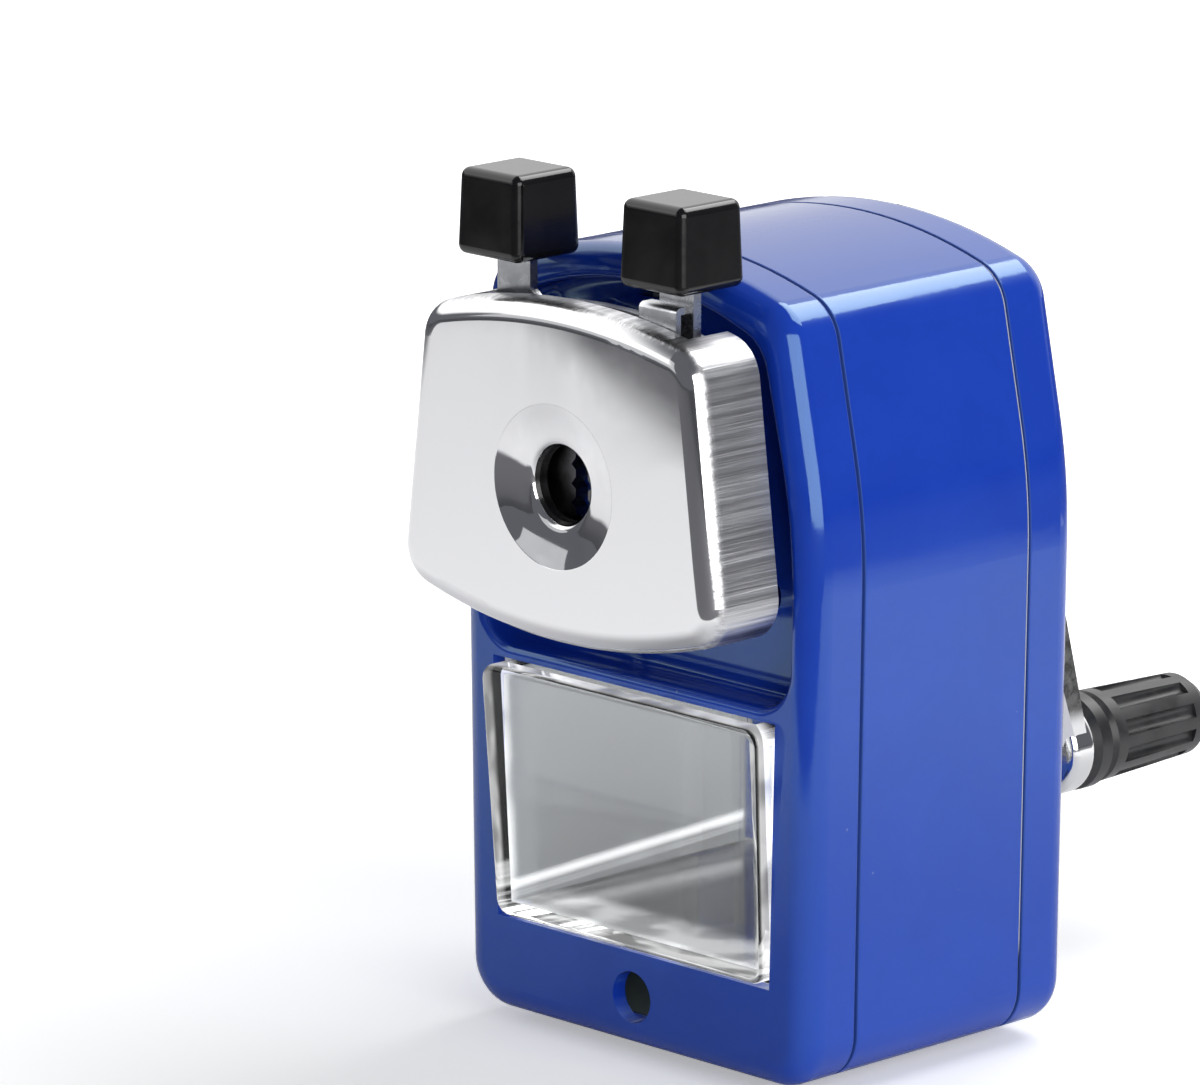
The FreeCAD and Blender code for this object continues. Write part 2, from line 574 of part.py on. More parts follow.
# Faceplate: a drawn bright shell with a dimple round the pencil hole and a notch in its top wall.
def plate_loop(inset):
    """The faceplate's outline about the pencil axis, arched above and below."""
    low = "plate_low_width/2 - (%s)" % inset
    top = "plate_top_width/2 - (%s)" % inset
    low_bend = "((%s)^2 + plate_low_rise^2)/(2*plate_low_rise)" % low
    top_bend = "((%s)^2 + plate_top_rise^2)/(2*plate_top_rise)" % top
    low_corner = "plate_low + plate_low_rise + (%s) - axis_height" % inset
    top_corner = "plate_top - plate_top_rise - (%s) - axis_height" % inset
    return [("-(%s)" % low, low_corner, low_bend), (low, low_corner),
            (top, top_corner, top_bend), ("-(%s)" % top, top_corner)]


def plate_corners(inset, radius):
    """Round the four corners of the faceplate's outline."""
    def test(edge):
        high = edge.BoundBox.ZMin
        side = abs(edge.BoundBox.XMin)
        low = abs(side - value("plate_low_width/2 - %s" % inset)) < 0.01
        top = abs(side - value("plate_top_width/2 - %s" % inset)) < 0.01
        return lengthwise(edge) and ((low and high < 0) or (top and high > 0))
    return test, radius


plate_back = "plate_front - plate_depth"
face = piece("faceplate", "axis_height")
pad(face, sketch(face, "XZ_Plane", [plate_loop("0")], plate_back), "plate_depth")
pocket(face, sketch(face, "XZ_Plane", [plate_loop("plate_wall")], plate_back), "plate_depth - plate_wall",
       backward=True)
soften(face, *plate_corners("plate_wall", "plate_corner - plate_wall"))
soften(face, *plate_corners("0", "plate_corner"))
soften(face, lambda e: at_depth(e, -value("plate_front")), "plate_edge")
cup = sketch(face, "XZ_Plane", [("circle", "0", "0", "dimple_radius + plate_wall")],
             "plate_front - plate_wall")
pad(face, cup, "dimple_depth", backward=True)
dimple = [("-(plate_front + 1)", "0"), ("-(plate_front + 1)", "dimple_radius"),
          ("-plate_front", "dimple_radius"), ("-(plate_front - dimple_depth)", "dimple_floor"),
          ("-(plate_front - dimple_depth)", "bush_outer"),
          ("-(plate_front - dimple_depth - plate_wall - 1)", "bush_outer"),
          ("-(plate_front - dimple_depth - plate_wall - 1)", "0")]
turn(face, sketch(face, "YZ_Plane", [dimple]), cut=True)
gap = box_loop("notch_half", "plate_top - plate_top_rise - plate_wall - 0.6 - axis_height",
               "plate_top + 1 - axis_height")
pocket(face, sketch(face, "XZ_Plane", [gap], plate_back), "notch_depth", backward=True)

# Pencil bush: the black ring pressed into the dimple's hole.
lead = piece("pencil_bush", "axis_height")
bush_seat = "plate_front - dimple_depth"
section = [("-(%s + 0.9)" % bush_seat, "pencil_radius + 0.7"),
           ("-(%s + 0.9)" % bush_seat, "dimple_floor - 0.3"),
           ("-(%s)" % bush_seat, "dimple_floor - 0.1"), ("-(%s)" % bush_seat, "bush_outer"),
           ("-(%s - plate_wall)" % bush_seat, "bush_outer"),
           ("-(%s - plate_wall)" % bush_seat, "pencil_radius"), ("-(%s)" % bush_seat, "pencil_radius")]
turn(lead, sketch(lead, "YZ_Plane", [section]))

# Gripper backplate: closes the shell, and carries the rods, the rail and the lever pivots.
back_rear = "plate_front - plate_depth + back_setback"
back_front = back_rear + " + back_thick"
back = piece("gripper_backplate", "axis_height")
carried = [plate_loop("plate_wall"),
           ("circle", "0", "0", "bush_outer + 0.5"),
           ("circle", "rod_side", "rod_height - axis_height", "rod_radius"),
           ("circle", "-rod_side", "rod_height - axis_height", "rod_radius"),
           ("circle", "pivot_side", "pivot_height - axis_height", "pivot_radius"),
           ("circle", "-pivot_side", "pivot_height - axis_height", "pivot_radius")]
pad(back, sketch(back, "XZ_Plane", carried, back_rear), "back_thick")
soften(back, *plate_corners("plate_wall", "plate_corner - plate_wall"))
tab = box_loop("rail_width/2", "plate_top - plate_wall - 3 - axis_height",
               "rail_base + rail_high - axis_height")
pad(back, sketch(back, "XZ_Plane", [tab], back_rear), "back_thick")

# Guide rods: bright bars from the backplate into the casing, grooved for a clip at the rear.
clip_seat = "rod_end - clip_thick - 0.6"
for side, name in (("-rod_side", "left_guide_rod"), ("rod_side", "right_guide_rod")):
    rod = piece(name, "rod_height", side)
    section = [("-(%s)" % back_front, "0"), ("-(%s)" % back_front, "rod_radius"), (clip_seat, "rod_radius"),
               (clip_seat, "rod_radius - clip_groove"),
               (clip_seat + " + clip_thick", "rod_radius - clip_groove"),
               (clip_seat + " + clip_thick", "rod_radius"), ("rod_end", "rod_radius"), ("rod_end", "0")]
    turn(rod, sketch(rod, "YZ_Plane", [section]))

clips = []
for side, name in (("-rod_side", "left_rod_clip"), ("rod_side", "right_rod_clip")):
    clip = piece(name, "rod_height", side, keep=False)
    washer = [("circle", "0", "0", "clip_radius"), ("circle", "0", "0", "rod_radius - clip_groove")]
    pad(clip, sketch(clip, "XZ_Plane", washer, "-(%s)" % clip_seat), "clip_thick", backward=True)
    clips.append(clip)
group("rod_clips", clips)

# Top rail: a flat channel that keeps the faceplate level as it is drawn out.
rail = piece("top_rail")
channel = [("-(rail_width/2)", "rail_base"), ("-(rail_width/2 - rail_sheet)", "rail_base"),
           ("-(rail_width/2 - rail_sheet)", "rail_base + rail_high - rail_sheet"),
           ("rail_width/2 - rail_sheet", "rail_base + rail_high - rail_sheet"),
           ("rail_width/2 - rail_sheet", "rail_base"), ("rail_width/2", "rail_base"),
           ("rail_width/2", "rail_base + rail_high"), ("-(rail_width/2)", "rail_base + rail_high")]
pad(rail, sketch(rail, "XZ_Plane", [channel], back_rear), "%s + rail_end" % back_rear, backward=True)

# Lever pivot pins: two headed pins riveted in the backplate.
lever_rear = back_front + " + lever_gap"
lever_front = lever_rear + " + lever_thick"
pins = []
for side, name in (("-pivot_side", "left_pivot_pin"), ("pivot_side", "right_pivot_pin")):
    pin = piece(name, "pivot_height", side, keep=False)
    section = [("-(%s + lever_gap + 0.8)" % lever_front, "0"),
               ("-(%s + lever_gap + 0.8)" % lever_front, "pivot_boss - 0.9"),
               ("-(%s + lever_gap)" % lever_front, "pivot_boss - 0.9"),
               ("-(%s + lever_gap)" % lever_front, "pivot_radius"),
               ("-(%s)" % back_rear, "pivot_radius"), ("-(%s)" % back_rear, "0")]
    turn(pin, sketch(pin, "YZ_Plane", [section]))
    pins.append(pin)
group("lever_pivot_pins", pins)

# Gripping levers: flat stampings, each with a knob above its pivot and a toothed jaw below it.
for hand, name in (("-1", "left"), ("1", "right")):
    def out(text):
        return "%s*(%s)" % (hand, text)
    lever = piece(name + "_lever")
    stamping = [(out("knob_side + strip_width/2"), "pivot_height + 4.5"),
                (out("pivot_side + pivot_boss"), "pivot_height - 1.5"),
                (out("jaw_gap + jaw_width"), "axis_height + jaw_high/2 + 1"),
                (out("jaw_gap + jaw_width"), "axis_height - jaw_high/2"),
                (out("jaw_gap + tooth_depth"), "axis_height - jaw_high/2"),
                (out("jaw_gap + tooth_depth"), "axis_height + jaw_high/2 + 1"),
                (out("pivot_side - pivot_boss + 0.6"), "pivot_height - 1"),
                (out("pivot_side - pivot_boss + 0.6"), "pivot_height + 5"),
                (out("knob_side - strip_width/2"), "pivot_height + 8"),
                (out("knob_side - strip_width/2"), "knob_base + knob_size*0.6"),
                (out("knob_side + strip_width/2"), "knob_base + knob_size*0.6")]
    hole = ("circle", out("pivot_side"), "pivot_height", "pivot_radius + run_gap")
    pad(lever, sketch(lever, "XZ_Plane", [stamping, hole], lever_rear), "lever_thick")

    jaw = piece(name + "_jaw")
    teeth = [(out("jaw_gap + jaw_width"), "axis_height + jaw_high/2"),
             (out("jaw_gap + jaw_width"), "axis_height - jaw_high/2")]
    for step in range(4):
        teeth.append((out("jaw_gap"), "axis_height - jaw_high/2 + jaw_high*%.4f" % (step / 4.0 + 0.03)))
        teeth.append((out("jaw_gap"), "axis_height - jaw_high/2 + jaw_high*%.4f" % (step / 4.0 + 0.13)))
        teeth.append((out("jaw_gap + tooth_depth"),
                      "axis_height - jaw_high/2 + jaw_high*%.4f" % (step / 4.0 + 0.19)))
    pad(jaw, sketch(jaw, "XZ_Plane", [teeth], lever_front), "jaw_thick")

    knob = piece(name + "_knob")
    middle = "%s + lever_thick/2 + knob_shift" % lever_rear
    foot = [(out("knob_side - knob_size/2"), "-(%s + knob_size/2)" % middle),
            (out("knob_side + knob_size/2"), "-(%s + knob_size/2)" % middle),
            (out("knob_side + knob_size/2"), "-(%s - knob_size/2)" % middle),
            (out("knob_side - knob_size/2"), "-(%s - knob_size/2)" % middle)]
    block = pad(knob, sketch(knob, "XY_Plane", [foot], "knob_base"), "knob_high")
    block.setExpression("TaperAngle", bound("-knob_draft"))
    solid_after(knob, block)
    soften(knob, lambda e: True, "knob_round")
    slot = [(out("knob_side - strip_width/2"), "-(%s)" % lever_front),
            (out("knob_side + strip_width/2"), "-(%s)" % lever_front),
            (out("knob_side + strip_width/2"), "-(%s)" % lever_rear),
            (out("knob_side - strip_width/2"), "-(%s)" % lever_rear)]
    pocket(knob, sketch(knob, "XY_Plane", [slot], "knob_base"), "knob_size*0.6", backward=True)



def coil(radius, wire, turns, length):
    """One unbroken wire wound along z, each quarter turn a pair of arcs that meet in line."""
    quarters = 4 * turns
    rise = (length - 2 * wire) / quarters
    slope = rise / (math.pi / 2)

    def spot(step):
        angle = step * math.pi / 2
        return FreeCAD.Vector(radius * math.cos(angle), radius * math.sin(angle), wire + rise * step)

    def heading(step):
        angle = step * math.pi / 2
        return FreeCAD.Vector(-radius * math.sin(angle), radius * math.cos(angle), slope).normalize()

    def bent(start, corner, end):
        middle = (start + end) * 0.5
        half = (end - start).Length * 0.5
        lean = math.acos(min(1.0, half / (corner - start).Length))
        bow = middle + (corner - middle).normalize() * (half * math.tan(lean / 2))
        return Part.Arc(start, bow, end).toShape()

    arcs = []
    points = []
    for step in range(quarters):
        start, end = spot(step), spot(step + 1)
        first, last = heading(step), heading(step + 1)
        chord = end - start
        both = first + last
        spare = 2 * (1 - first.dot(last))
        along = chord.dot(both)
        reach = (-along + math.sqrt(along * along + spare * chord.dot(chord))) / spare
        near = start + first * reach
        far = end - last * reach
        join = (near + far) * 0.5
        arcs.append(bent(start, near, join))
        arcs.append(bent(join, far, end))
        points.extend([start, join])
    line = Part.Wire(arcs)
    end_ring = Part.Circle(spot(0), heading(0), wire)
    tube = line.makePipeShell([Part.Wire([end_ring.toShape()])], True, False)
    least = min((points[i] - points[j]).Length for i in range(len(points))
                for j in range(i + 6, len(points)))
    print("wire gap", round(least - 2 * wire, 2))
    return tube


def spring(name, shape, place):
    """Place a wound wire."""
    made = doc.addObject("Part::Feature", name)
    made.Label = name
    made.Shape = shape
    made.Placement = place
    pieces.append(made)


# Feed springs: wound round the rods between the bracket and the clips, they draw the faceplate in.
feed_start = value("-(sleeve_depth/2 - bracket_thick)")
feed_long = value(clip_seat) - feed_start
for side, name in (("-rod_side", "left_feed_spring"), ("rod_side", "right_feed_spring")):
    wound = coil(value("rod_radius + feed_room + feed_wire"), value("feed_wire"), int(value("feed_turns")),
                 feed_long)
    spring(name, wound, FreeCAD.Placement(FreeCAD.Vector(value(side), feed_start, value("rod_height")),
                                          FreeCAD.Rotation(FreeCAD.Vector(1, 0, 0), -90)))

# Lever spring: spreads the two levers above their pivots, so that the jaws stay closed.
lever_reach = value("pivot_side - pivot_boss + 0.6")
wound = coil(value("lever_coil"), value("lever_wire"), int(value("lever_turns")), 2 * lever_reach)
spring("lever_spring", wound,
       FreeCAD.Placement(FreeCAD.Vector(-lever_reach, -value(lever_rear + " + lever_spring_set"),
                                        value("lever_spring_high")),
                         FreeCAD.Rotation(FreeCAD.Vector(0, 1, 0), 90) *
                         FreeCAD.Rotation(FreeCAD.Vector(0, 0, 1), 90)))

# Cutter housing: the cartridge's shell, with its toothed finger ring and three bayonet lugs.
ring_front = "ring_front"
ring_rear = "ring_rear"
shell = piece("cutter_housing", "axis_height")
section = [("tube_front", "tube_radius - tube_wall"), ("tube_front", "tube_radius"),
           (ring_front, "tube_radius"), (ring_front, "ring_radius"), (ring_rear + " - 0.6", "ring_radius"),
           (ring_rear, "ring_radius - 0.6"),
           (ring_rear, "dish_radius + 0.8"), (ring_rear + " - dish_depth", "dish_radius"),
           (ring_rear + " - dish_depth", "bush_radius"),
           (ring_rear + " - dish_depth - wall_thick", "bush_radius"),
           (ring_rear + " - dish_depth - wall_thick", "tube_radius - tube_wall")]
turn(shell, sketch(shell, "YZ_Plane", [section]))
slot = box_loop("notch_radius", "ring_radius - notch_radius*1.9", "ring_radius + 1")
cut = pocket(shell, sketch(shell, "XZ_Plane", [slot], "-(%s)" % ring_rear), "ring_deep - 1.5",
             backward=True)
repeat(shell, cut, "ring_notches")
lug_front = "%s - cover_wall - ring_gap - lug_thick" % rear_floor
lug = sketch(shell, "XZ_Plane", [turned_box("120", "lug_half", "tube_radius - 1", "tube_radius + lug_high",
                                            "0")],
             "-(%s)" % lug_front)
raised = pad(shell, lug, "lug_thick", backward=True)
repeat(shell, raised, "3")

# Shaft bush: the bearing in the cartridge's end wall.
bearing = piece("shaft_bush", "axis_height")
bush_front = "bush_front"
washer = [("circle", "0", "0", "bush_radius"), ("circle", "0", "0", "shaft_radius + run_gap")]
pad(bearing, sketch(bearing, "XZ_Plane", washer, "-(%s)" % bush_front), "wall_thick", backward=True)

# Crank shaft: a flanged spindle that carries the cutter carrier in front and the crank behind.
boss_front = "cap_seat + cap_edge + cap_cone"
shaft = piece("crank_shaft", "axis_height")
section = [("carrier_rear", "0"), ("carrier_rear", "carrier_hub"),
           ("carrier_rear + flange_thick", "carrier_hub"),
           ("carrier_rear + flange_thick", "shaft_radius"), (boss_front + " + shaft_sink", "shaft_radius"),
           (boss_front + " + shaft_sink", "0")]
turn(shaft, sketch(shaft, "YZ_Plane", [section]))

# Cutter carrier: a conical casting, bored for the pencil and cut away on one side for the cutter.
apex = "apex"
carrier = piece("cutter_carrier", "axis_height")
section = [("-carrier_front", "0"), ("-carrier_front", "carrier_radius"),
           ("-carrier_front + 3", "carrier_radius"),
           ("tube_front - 1", "carrier_hub"), ("carrier_rear", "carrier_hub"), ("carrier_rear", "0")]
turn(carrier, sketch(carrier, "YZ_Plane", [section]))
entry = [("-(carrier_front + 0.5)", "0"), ("-(carrier_front + 0.5)", "pencil_room"), ("tip_set + 2", "0")]
turn(carrier, sketch(carrier, "YZ_Plane", [entry]), cut=True)
for near, far, radius in (("gear_rear*cos(taper) - cutter_room", "cutter_front + cutter_room",
                           "cutter_radius + cutter_room"),
                          ("pin_rear", "pin_front", "pin_radius")):
    room = doc.addObject("PartDesign::SubtractiveCylinder", "carrier_room")
    carrier.addObject(room)
    room.setExpression("Radius", bound(radius))
    room.setExpression("Height", bound("%s - (%s)" % (far, near)))
    room.Placement = FreeCAD.Placement(FreeCAD.Vector(),
                                       FreeCAD.Rotation(FreeCAD.Vector(1, 0, 0), value("90 - taper")))
    room.setExpression("Placement.Rotation.Angle", bound("90 - taper"))
    room.setExpression("Placement.Base.y", bound("%s - (%s)*cos(taper)" % (apex, near)))
    room.setExpression("Placement.Base.z", bound("(%s)*sin(taper)" % near))
    solid_after(carrier, room)


def tilted(name):
    """Start a piece on the cutter's own line, measured from the point where it meets the pencil's line."""
    body = piece(name)
    body.Placement = FreeCAD.Placement(FreeCAD.Vector(),
                                       FreeCAD.Rotation(FreeCAD.Vector(1, 0, 0), value("90 - taper")))
    body.setExpression("Placement.Rotation.Angle", bound("90 - taper"))
    body.setExpression("Placement.Base.y", bound(apex))
    body.setExpression("Placement.Base.z", bound("axis_height"))
    return body


# Cutter pin: the fixed steel axle on which the cutter runs.
pin = tilted("cutter_pin")
pad(pin, sketch(pin, "XY_Plane", [("circle", "0", "0", "pin_radius")], "pin_rear"), "pin_front - pin_rear")


def tilted_shape(name, shape, lean):
    """Place a formed solid on the pencil's line or on the cutter's line."""
    made = doc.addObject("Part::Feature", name)
    made.Label = name
    made.Shape = shape
    made.Placement = FreeCAD.Placement(FreeCAD.Vector(0, value(apex), value("axis_height")),
                                       FreeCAD.Rotation(FreeCAD.Vector(1, 0, 0), 90 - lean))
    pieces.append(made)
    return made


def star(spots, high):
    """A closed ring of points given as (angle, radius) at one height."""
    points = [FreeCAD.Vector(r * math.sin(a), r * math.cos(a), high) for a, r in spots]
    return Part.makePolygon(points + points[:1])


# Helical cutter: a fluted steel roller, its blades wound round it from end to end.
cutter_teeth = int(value("cutter_teeth"))
rings = []
for step in range(7):
    part_way = step / 6.0
    wound = math.radians(value("cutter_twist")) * part_way
    spots = []
    for tooth in range(cutter_teeth):
        here = wound + 2 * math.pi * tooth / cutter_teeth
        spots.append((here, value("cutter_radius")))
        spots.append((here + 0.3 * 2 * math.pi / cutter_teeth, value("cutter_radius - flute_depth")))
    rings.append(star(spots, value("cutter_rear + (cutter_front - cutter_rear)*%.6f" % part_way)))
roller = Part.makeLoft(rings, True, True)
bore = Part.makeCylinder(value("pin_radius + run_gap"), 80)
tilted_shape("helical_cutter", roller.cut(bore), value("taper"))

# Bevel gears: straight teeth that all point at the meeting point of the two lines.
gear_ratio = value("gear_ratio")
taper = math.radians(value("taper"))
pinion_cone = math.atan2(math.sin(taper), gear_ratio - math.cos(taper))
ring_cone = pinion_cone + taper
tooth_up = math.atan(value("addendum"))
tooth_down = math.atan(value("dedendum"))


def bevel(cone, teeth, near, far, outward, start):
    """A toothed cone between two distances along its line; outward teeth stand on it, others in it."""
    pitch = 2 * math.pi / teeth
    wide = pitch * value("tooth_share")
    tip = math.tan(cone + tooth_up * outward)
    root = math.tan(cone - tooth_down * outward)
    wires = []
    for high in (near, far):
        spots = []
        for tooth in range(teeth):
            middle = start + tooth * pitch
            spots.append((middle - wide * 0.68, root * high))
            spots.append((middle - wide * 0.30, tip * high))
            spots.append((middle + wide * 0.30, tip * high))
            spots.append((middle + wide * 0.68, root * high))
        wires.append(star(spots, high))
    return Part.makeLoft(wires, True, True)


pinion_teeth = int(value("pinion_teeth"))
ring_teeth = int(round(pinion_teeth * gear_ratio))
pinion_near = value("gear_rear") * math.cos(pinion_cone)
pinion_far = value("gear_front") * math.cos(pinion_cone)
pinion = bevel(pinion_cone, pinion_teeth, pinion_near, pinion_far, 1, 0.0)
hub_long = value("cutter_rear") - pinion_far
hub = Part.makeCylinder(value("hub_radius"), hub_long, FreeCAD.Vector(0, 0, pinion_far))
tilted_shape("cutter_pinion", pinion.fuse(hub).removeSplitter().cut(bore), value("taper"))

ring_near = value(apex) - value("carrier_rear")
ring_far = value(apex) - value("tube_front")
blank = Part.makeCylinder(value("tube_radius - tube_wall"), ring_far - ring_near,
                          FreeCAD.Vector(0, 0, ring_near))
inner = bevel(ring_cone, ring_teeth, ring_near - 1, ring_far + 1, -1, math.pi / ring_teeth)
tilted_shape("ring_gear", blank.cut(inner), 0)

# Hub cap: the bright conical dish between the finger ring and the crank.
cap = piece("hub_cap", "axis_height")
section = [("cap_seat", "shaft_radius"), ("cap_seat", "cap_radius"), ("cap_seat + cap_edge", "cap_radius"),
           (boss_front, "boss_radius - 0.4"), (boss_front, "shaft_radius")]
turn(cap, sketch(cap, "YZ_Plane", [section]))

# Crank arm: a bright casting that leans outwards from its upper boss to the grip's boss.
arm = piece("crank_arm", "axis_height")
upper = sketch(arm, "XZ_Plane", [("circle", "0", "0", "boss_radius")], "-(%s)" % boss_front)
pad(arm, upper, "boss_high", backward=True)
soften(arm, lambda e: at_depth(e, value(boss_front + " + boss_high")), "arm_round")
arm_face = "%s + boss_high + arm_lean" % boss_front
lower = sketch(arm, "XZ_Plane", [("circle", "0", "-arm_length", "arm_end")], "-(%s - arm_thick)" % arm_face)
pad(arm, lower, "arm_thick", backward=True)
soften(arm, lambda e: at_depth(e, value(arm_face)) or at_depth(e, value(arm_face + " - arm_thick")),
       "arm_round")
ends = []
for half, near, far, high in (("arm_wide", boss_front + " + 0.2", boss_front + " + boss_high", "-2"),
                              ("arm_narrow", "%s - arm_thick" % arm_face, arm_face, "-(arm_length - 1)")):
    flat = "%s - arm_round" % half
    ends.append(sketch(arm, "XY_Plane", [[
        ("-(%s)" % flat, near), (flat, near), (half, near + " + arm_round"), (half, far + " - arm_round"),
        (flat, far), ("-(%s)" % flat, far), ("-(%s)" % half, far + " - arm_round"),
        ("-(%s)" % half, near + " + arm_round")]], high))
web = arm.newObject("PartDesign::AdditiveLoft", "crank_arm_web")
web.Profile = ends[0]
web.Sections = [ends[1]]
solid_after(arm, web)
bore_way = sketch(arm, "XZ_Plane", [("circle", "0", "0", "shaft_radius")], "-(%s)" % boss_front)
pocket(arm, bore_way, "shaft_sink")
axle_way = sketch(arm, "XZ_Plane", [("circle", "0", "-arm_length", "axle_radius")], "-(%s)" % arm_face)
pocket(arm, axle_way, "arm_thick - 1", backward=True)

# Grip: a fluted black handle that spins on a headed axle, with a collar behind it and an end plug.
grip_high = "axis_height - arm_length"
collar_rear = "%s + collar_high" % arm_face
grip_front = "%s + collar_gap" % collar_rear
grip_rear = "%s + grip_length" % grip_front
sunk_rear = "%s - plug_depth - head_thick - collar_gap*2" % grip_rear
axle = piece("grip_axle", grip_high)
section = [("%s - arm_thick + 1" % arm_face, "0"), ("%s - arm_thick + 1" % arm_face, "axle_radius"),
           ("%s + collar_gap" % sunk_rear, "axle_radius"), ("%s + collar_gap" % sunk_rear, "axle_head"),
           ("%s + collar_gap + head_thick" % sunk_rear, "axle_head"),
           ("%s + collar_gap + head_thick" % sunk_rear, "0")]
turn(axle, sketch(axle, "YZ_Plane", [section]))
collar = piece("grip_collar", grip_high)
section = [(arm_face, "axle_radius"), (arm_face, "collar_radius - 0.8"),
           ("%s + 0.8" % arm_face, "collar_radius"),
           (collar_rear, "collar_radius"), (collar_rear, "axle_radius")]
turn(collar, sketch(collar, "YZ_Plane", [section]))
grip = piece("handle_grip", grip_high)
section = [(grip_front, "axle_radius + run_gap"), (grip_front, "grip_radius - 0.8"),
           ("%s + 1.2" % grip_front, "grip_radius"), ("%s - 1.4" % grip_rear, "grip_end"),
           (grip_rear, "grip_end - 0.9"), (grip_rear, "plug_radius"), (sunk_rear, "plug_radius"),
           (sunk_rear, "axle_radius + run_gap")]
turn(grip, sketch(grip, "YZ_Plane", [section]))
groove = sketch(grip, "XZ_Plane", [("circle", "0", "grip_end + flute_radius*0.45", "flute_radius")],
                "-(%s + 3)" % grip_front)
repeat(grip, pocket(grip, groove, "grip_length - 6"), "flute_count")
plug = piece("grip_end_plug", grip_high)
disc = sketch(plug, "XZ_Plane", [("circle", "0", "0", "plug_radius")], "-(%s - plug_depth)" % grip_rear)
pad(plug, disc, "plug_depth - 0.4", backward=True)

doc.recompute()
os.makedirs("parts", exist_ok=True)
for made in pieces:
    shape = made.Shape
    if "Invalid" in made.State or "Error" in made.State or shape.isNull() or not shape.isValid():
        raise RuntimeError("%s is not sound" % made.Label)
print("pieces", len(pieces))
for made in pieces:
    made.Shape.exportStep("parts/%s.step" % made.Label)
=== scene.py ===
import bpy
import bmesh
import math
from mathutils import Matrix, Vector


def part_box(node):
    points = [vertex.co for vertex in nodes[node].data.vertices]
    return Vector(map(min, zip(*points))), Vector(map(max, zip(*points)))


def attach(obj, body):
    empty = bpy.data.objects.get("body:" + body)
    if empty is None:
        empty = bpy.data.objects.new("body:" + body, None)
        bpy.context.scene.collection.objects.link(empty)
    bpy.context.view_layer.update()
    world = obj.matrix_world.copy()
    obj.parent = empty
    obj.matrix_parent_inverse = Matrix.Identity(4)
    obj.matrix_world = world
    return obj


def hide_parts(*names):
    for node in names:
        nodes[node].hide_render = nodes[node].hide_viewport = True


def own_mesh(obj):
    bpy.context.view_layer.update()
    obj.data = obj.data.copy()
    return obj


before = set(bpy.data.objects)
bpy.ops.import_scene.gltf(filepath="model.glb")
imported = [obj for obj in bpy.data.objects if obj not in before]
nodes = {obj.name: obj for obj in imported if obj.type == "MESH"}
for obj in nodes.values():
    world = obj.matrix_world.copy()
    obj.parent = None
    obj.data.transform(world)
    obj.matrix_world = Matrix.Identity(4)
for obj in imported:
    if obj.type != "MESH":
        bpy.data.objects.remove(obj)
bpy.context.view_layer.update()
scene = bpy.context.scene
scene.view_settings.view_transform = "Standard"

# The set: the sharpener stands on a sweep of pale board, seen from its right front corner through a
# long lens, a little from above.
camera_place = (0.68101, -0.69227, 0.28746)
camera_turn = math.radians(45.67)
camera_dip = math.radians(13.27)
lens = bpy.data.cameras.new("set_camera")
lens.lens = 257.2
lens.sensor_width = 36.0
lens.clip_start = 0.01
camera = bpy.data.objects.new("set_camera", lens)
camera.location = camera_place
camera.rotation_euler = (math.pi / 2 - camera_dip, 0.0, camera_turn)
scene.collection.objects.link(camera)
scene.camera = camera


def add(tree, kind, **values):
    """One node of a material, with its settings by name and its sockets by their labels."""
    made = tree.nodes.new(kind)
    for word, value in values.items():
        label = word.replace("_", " ")
        if label in made.inputs:
            made.inputs[label].default_value = value
        else:
            setattr(made, word, value)
    return made


def feed(tree, source, socket):
    """Lead a value, a colour or another node's output into a socket."""
    if isinstance(source, bpy.types.NodeSocket):
        tree.links.new(source, socket)
    else:
        socket.default_value = source


def calc(tree, operation, *values):
    """One step of arithmetic on values or outputs."""
    step = add(tree, "ShaderNodeMath", operation=operation)
    for socket, value in zip(step.inputs, values):
        feed(tree, value, socket)
    return step.outputs[0]


def span(tree, value, low, high, first=0.0, last=1.0):
    """Bring a value from one span to another, eased at both ends."""
    step = add(tree, "ShaderNodeMapRange", interpolation_type="SMOOTHSTEP", From_Min=low, From_Max=high,
               To_Min=first, To_Max=last)
    feed(tree, value, step.inputs["Value"])
    return step.outputs["Result"]


def blend(tree, mask, first, second):
    """Mix two colours by a mask."""
    mix = add(tree, "ShaderNodeMix", data_type="RGBA")
    for socket, source in ((mix.inputs[0], mask), (mix.inputs[6], first), (mix.inputs[7], second)):
        feed(tree, source, socket)
    return mix.outputs[2]


def new_finish(name):
    """A material with its shader, ready for its own colours."""
    finish = bpy.data.materials.new(name)
    finish.use_nodes = True
    return finish, finish.node_tree, finish.node_tree.nodes["Principled BSDF"]


board_colour = (0.86, 0.86, 0.86, 1)
board_far = (0.24, 0.24, 0.25, 1)
bright_middle = (-0.08, -0.10, 0.0)
near_lift = 0.38
far_lift = 1.0
mirror_lift = 0.40
board, tree, shader = new_finish("pale_board")
shader.inputs["Roughness"].default_value = 0.9
shader.inputs["Specular IOR Level"].default_value = 0.1
shader.inputs["Emission Color"].default_value = (1, 1, 1, 1)
coords = add(tree, "ShaderNodeTexCoord")
reach = add(tree, "ShaderNodeVectorMath", operation="LENGTH")
feed(tree, coords.outputs["Object"], reach.inputs[0])
lift = span(tree, reach.outputs["Value"], 0.06, 0.28, near_lift, far_lift)
rays = add(tree, "ShaderNodeLightPath")
from_bright = add(tree, "ShaderNodeVectorMath", operation="DISTANCE")
feed(tree, coords.outputs["Object"], from_bright.inputs[0])
feed(tree, bright_middle, from_bright.inputs[1])
across = add(tree, "ShaderNodeSeparateXYZ")
feed(tree, coords.outputs["Object"], across.inputs[0])
forward = calc(tree, "SUBTRACT", calc(tree, "MULTIPLY", across.outputs["X"], 0.55), across.outputs["Y"])
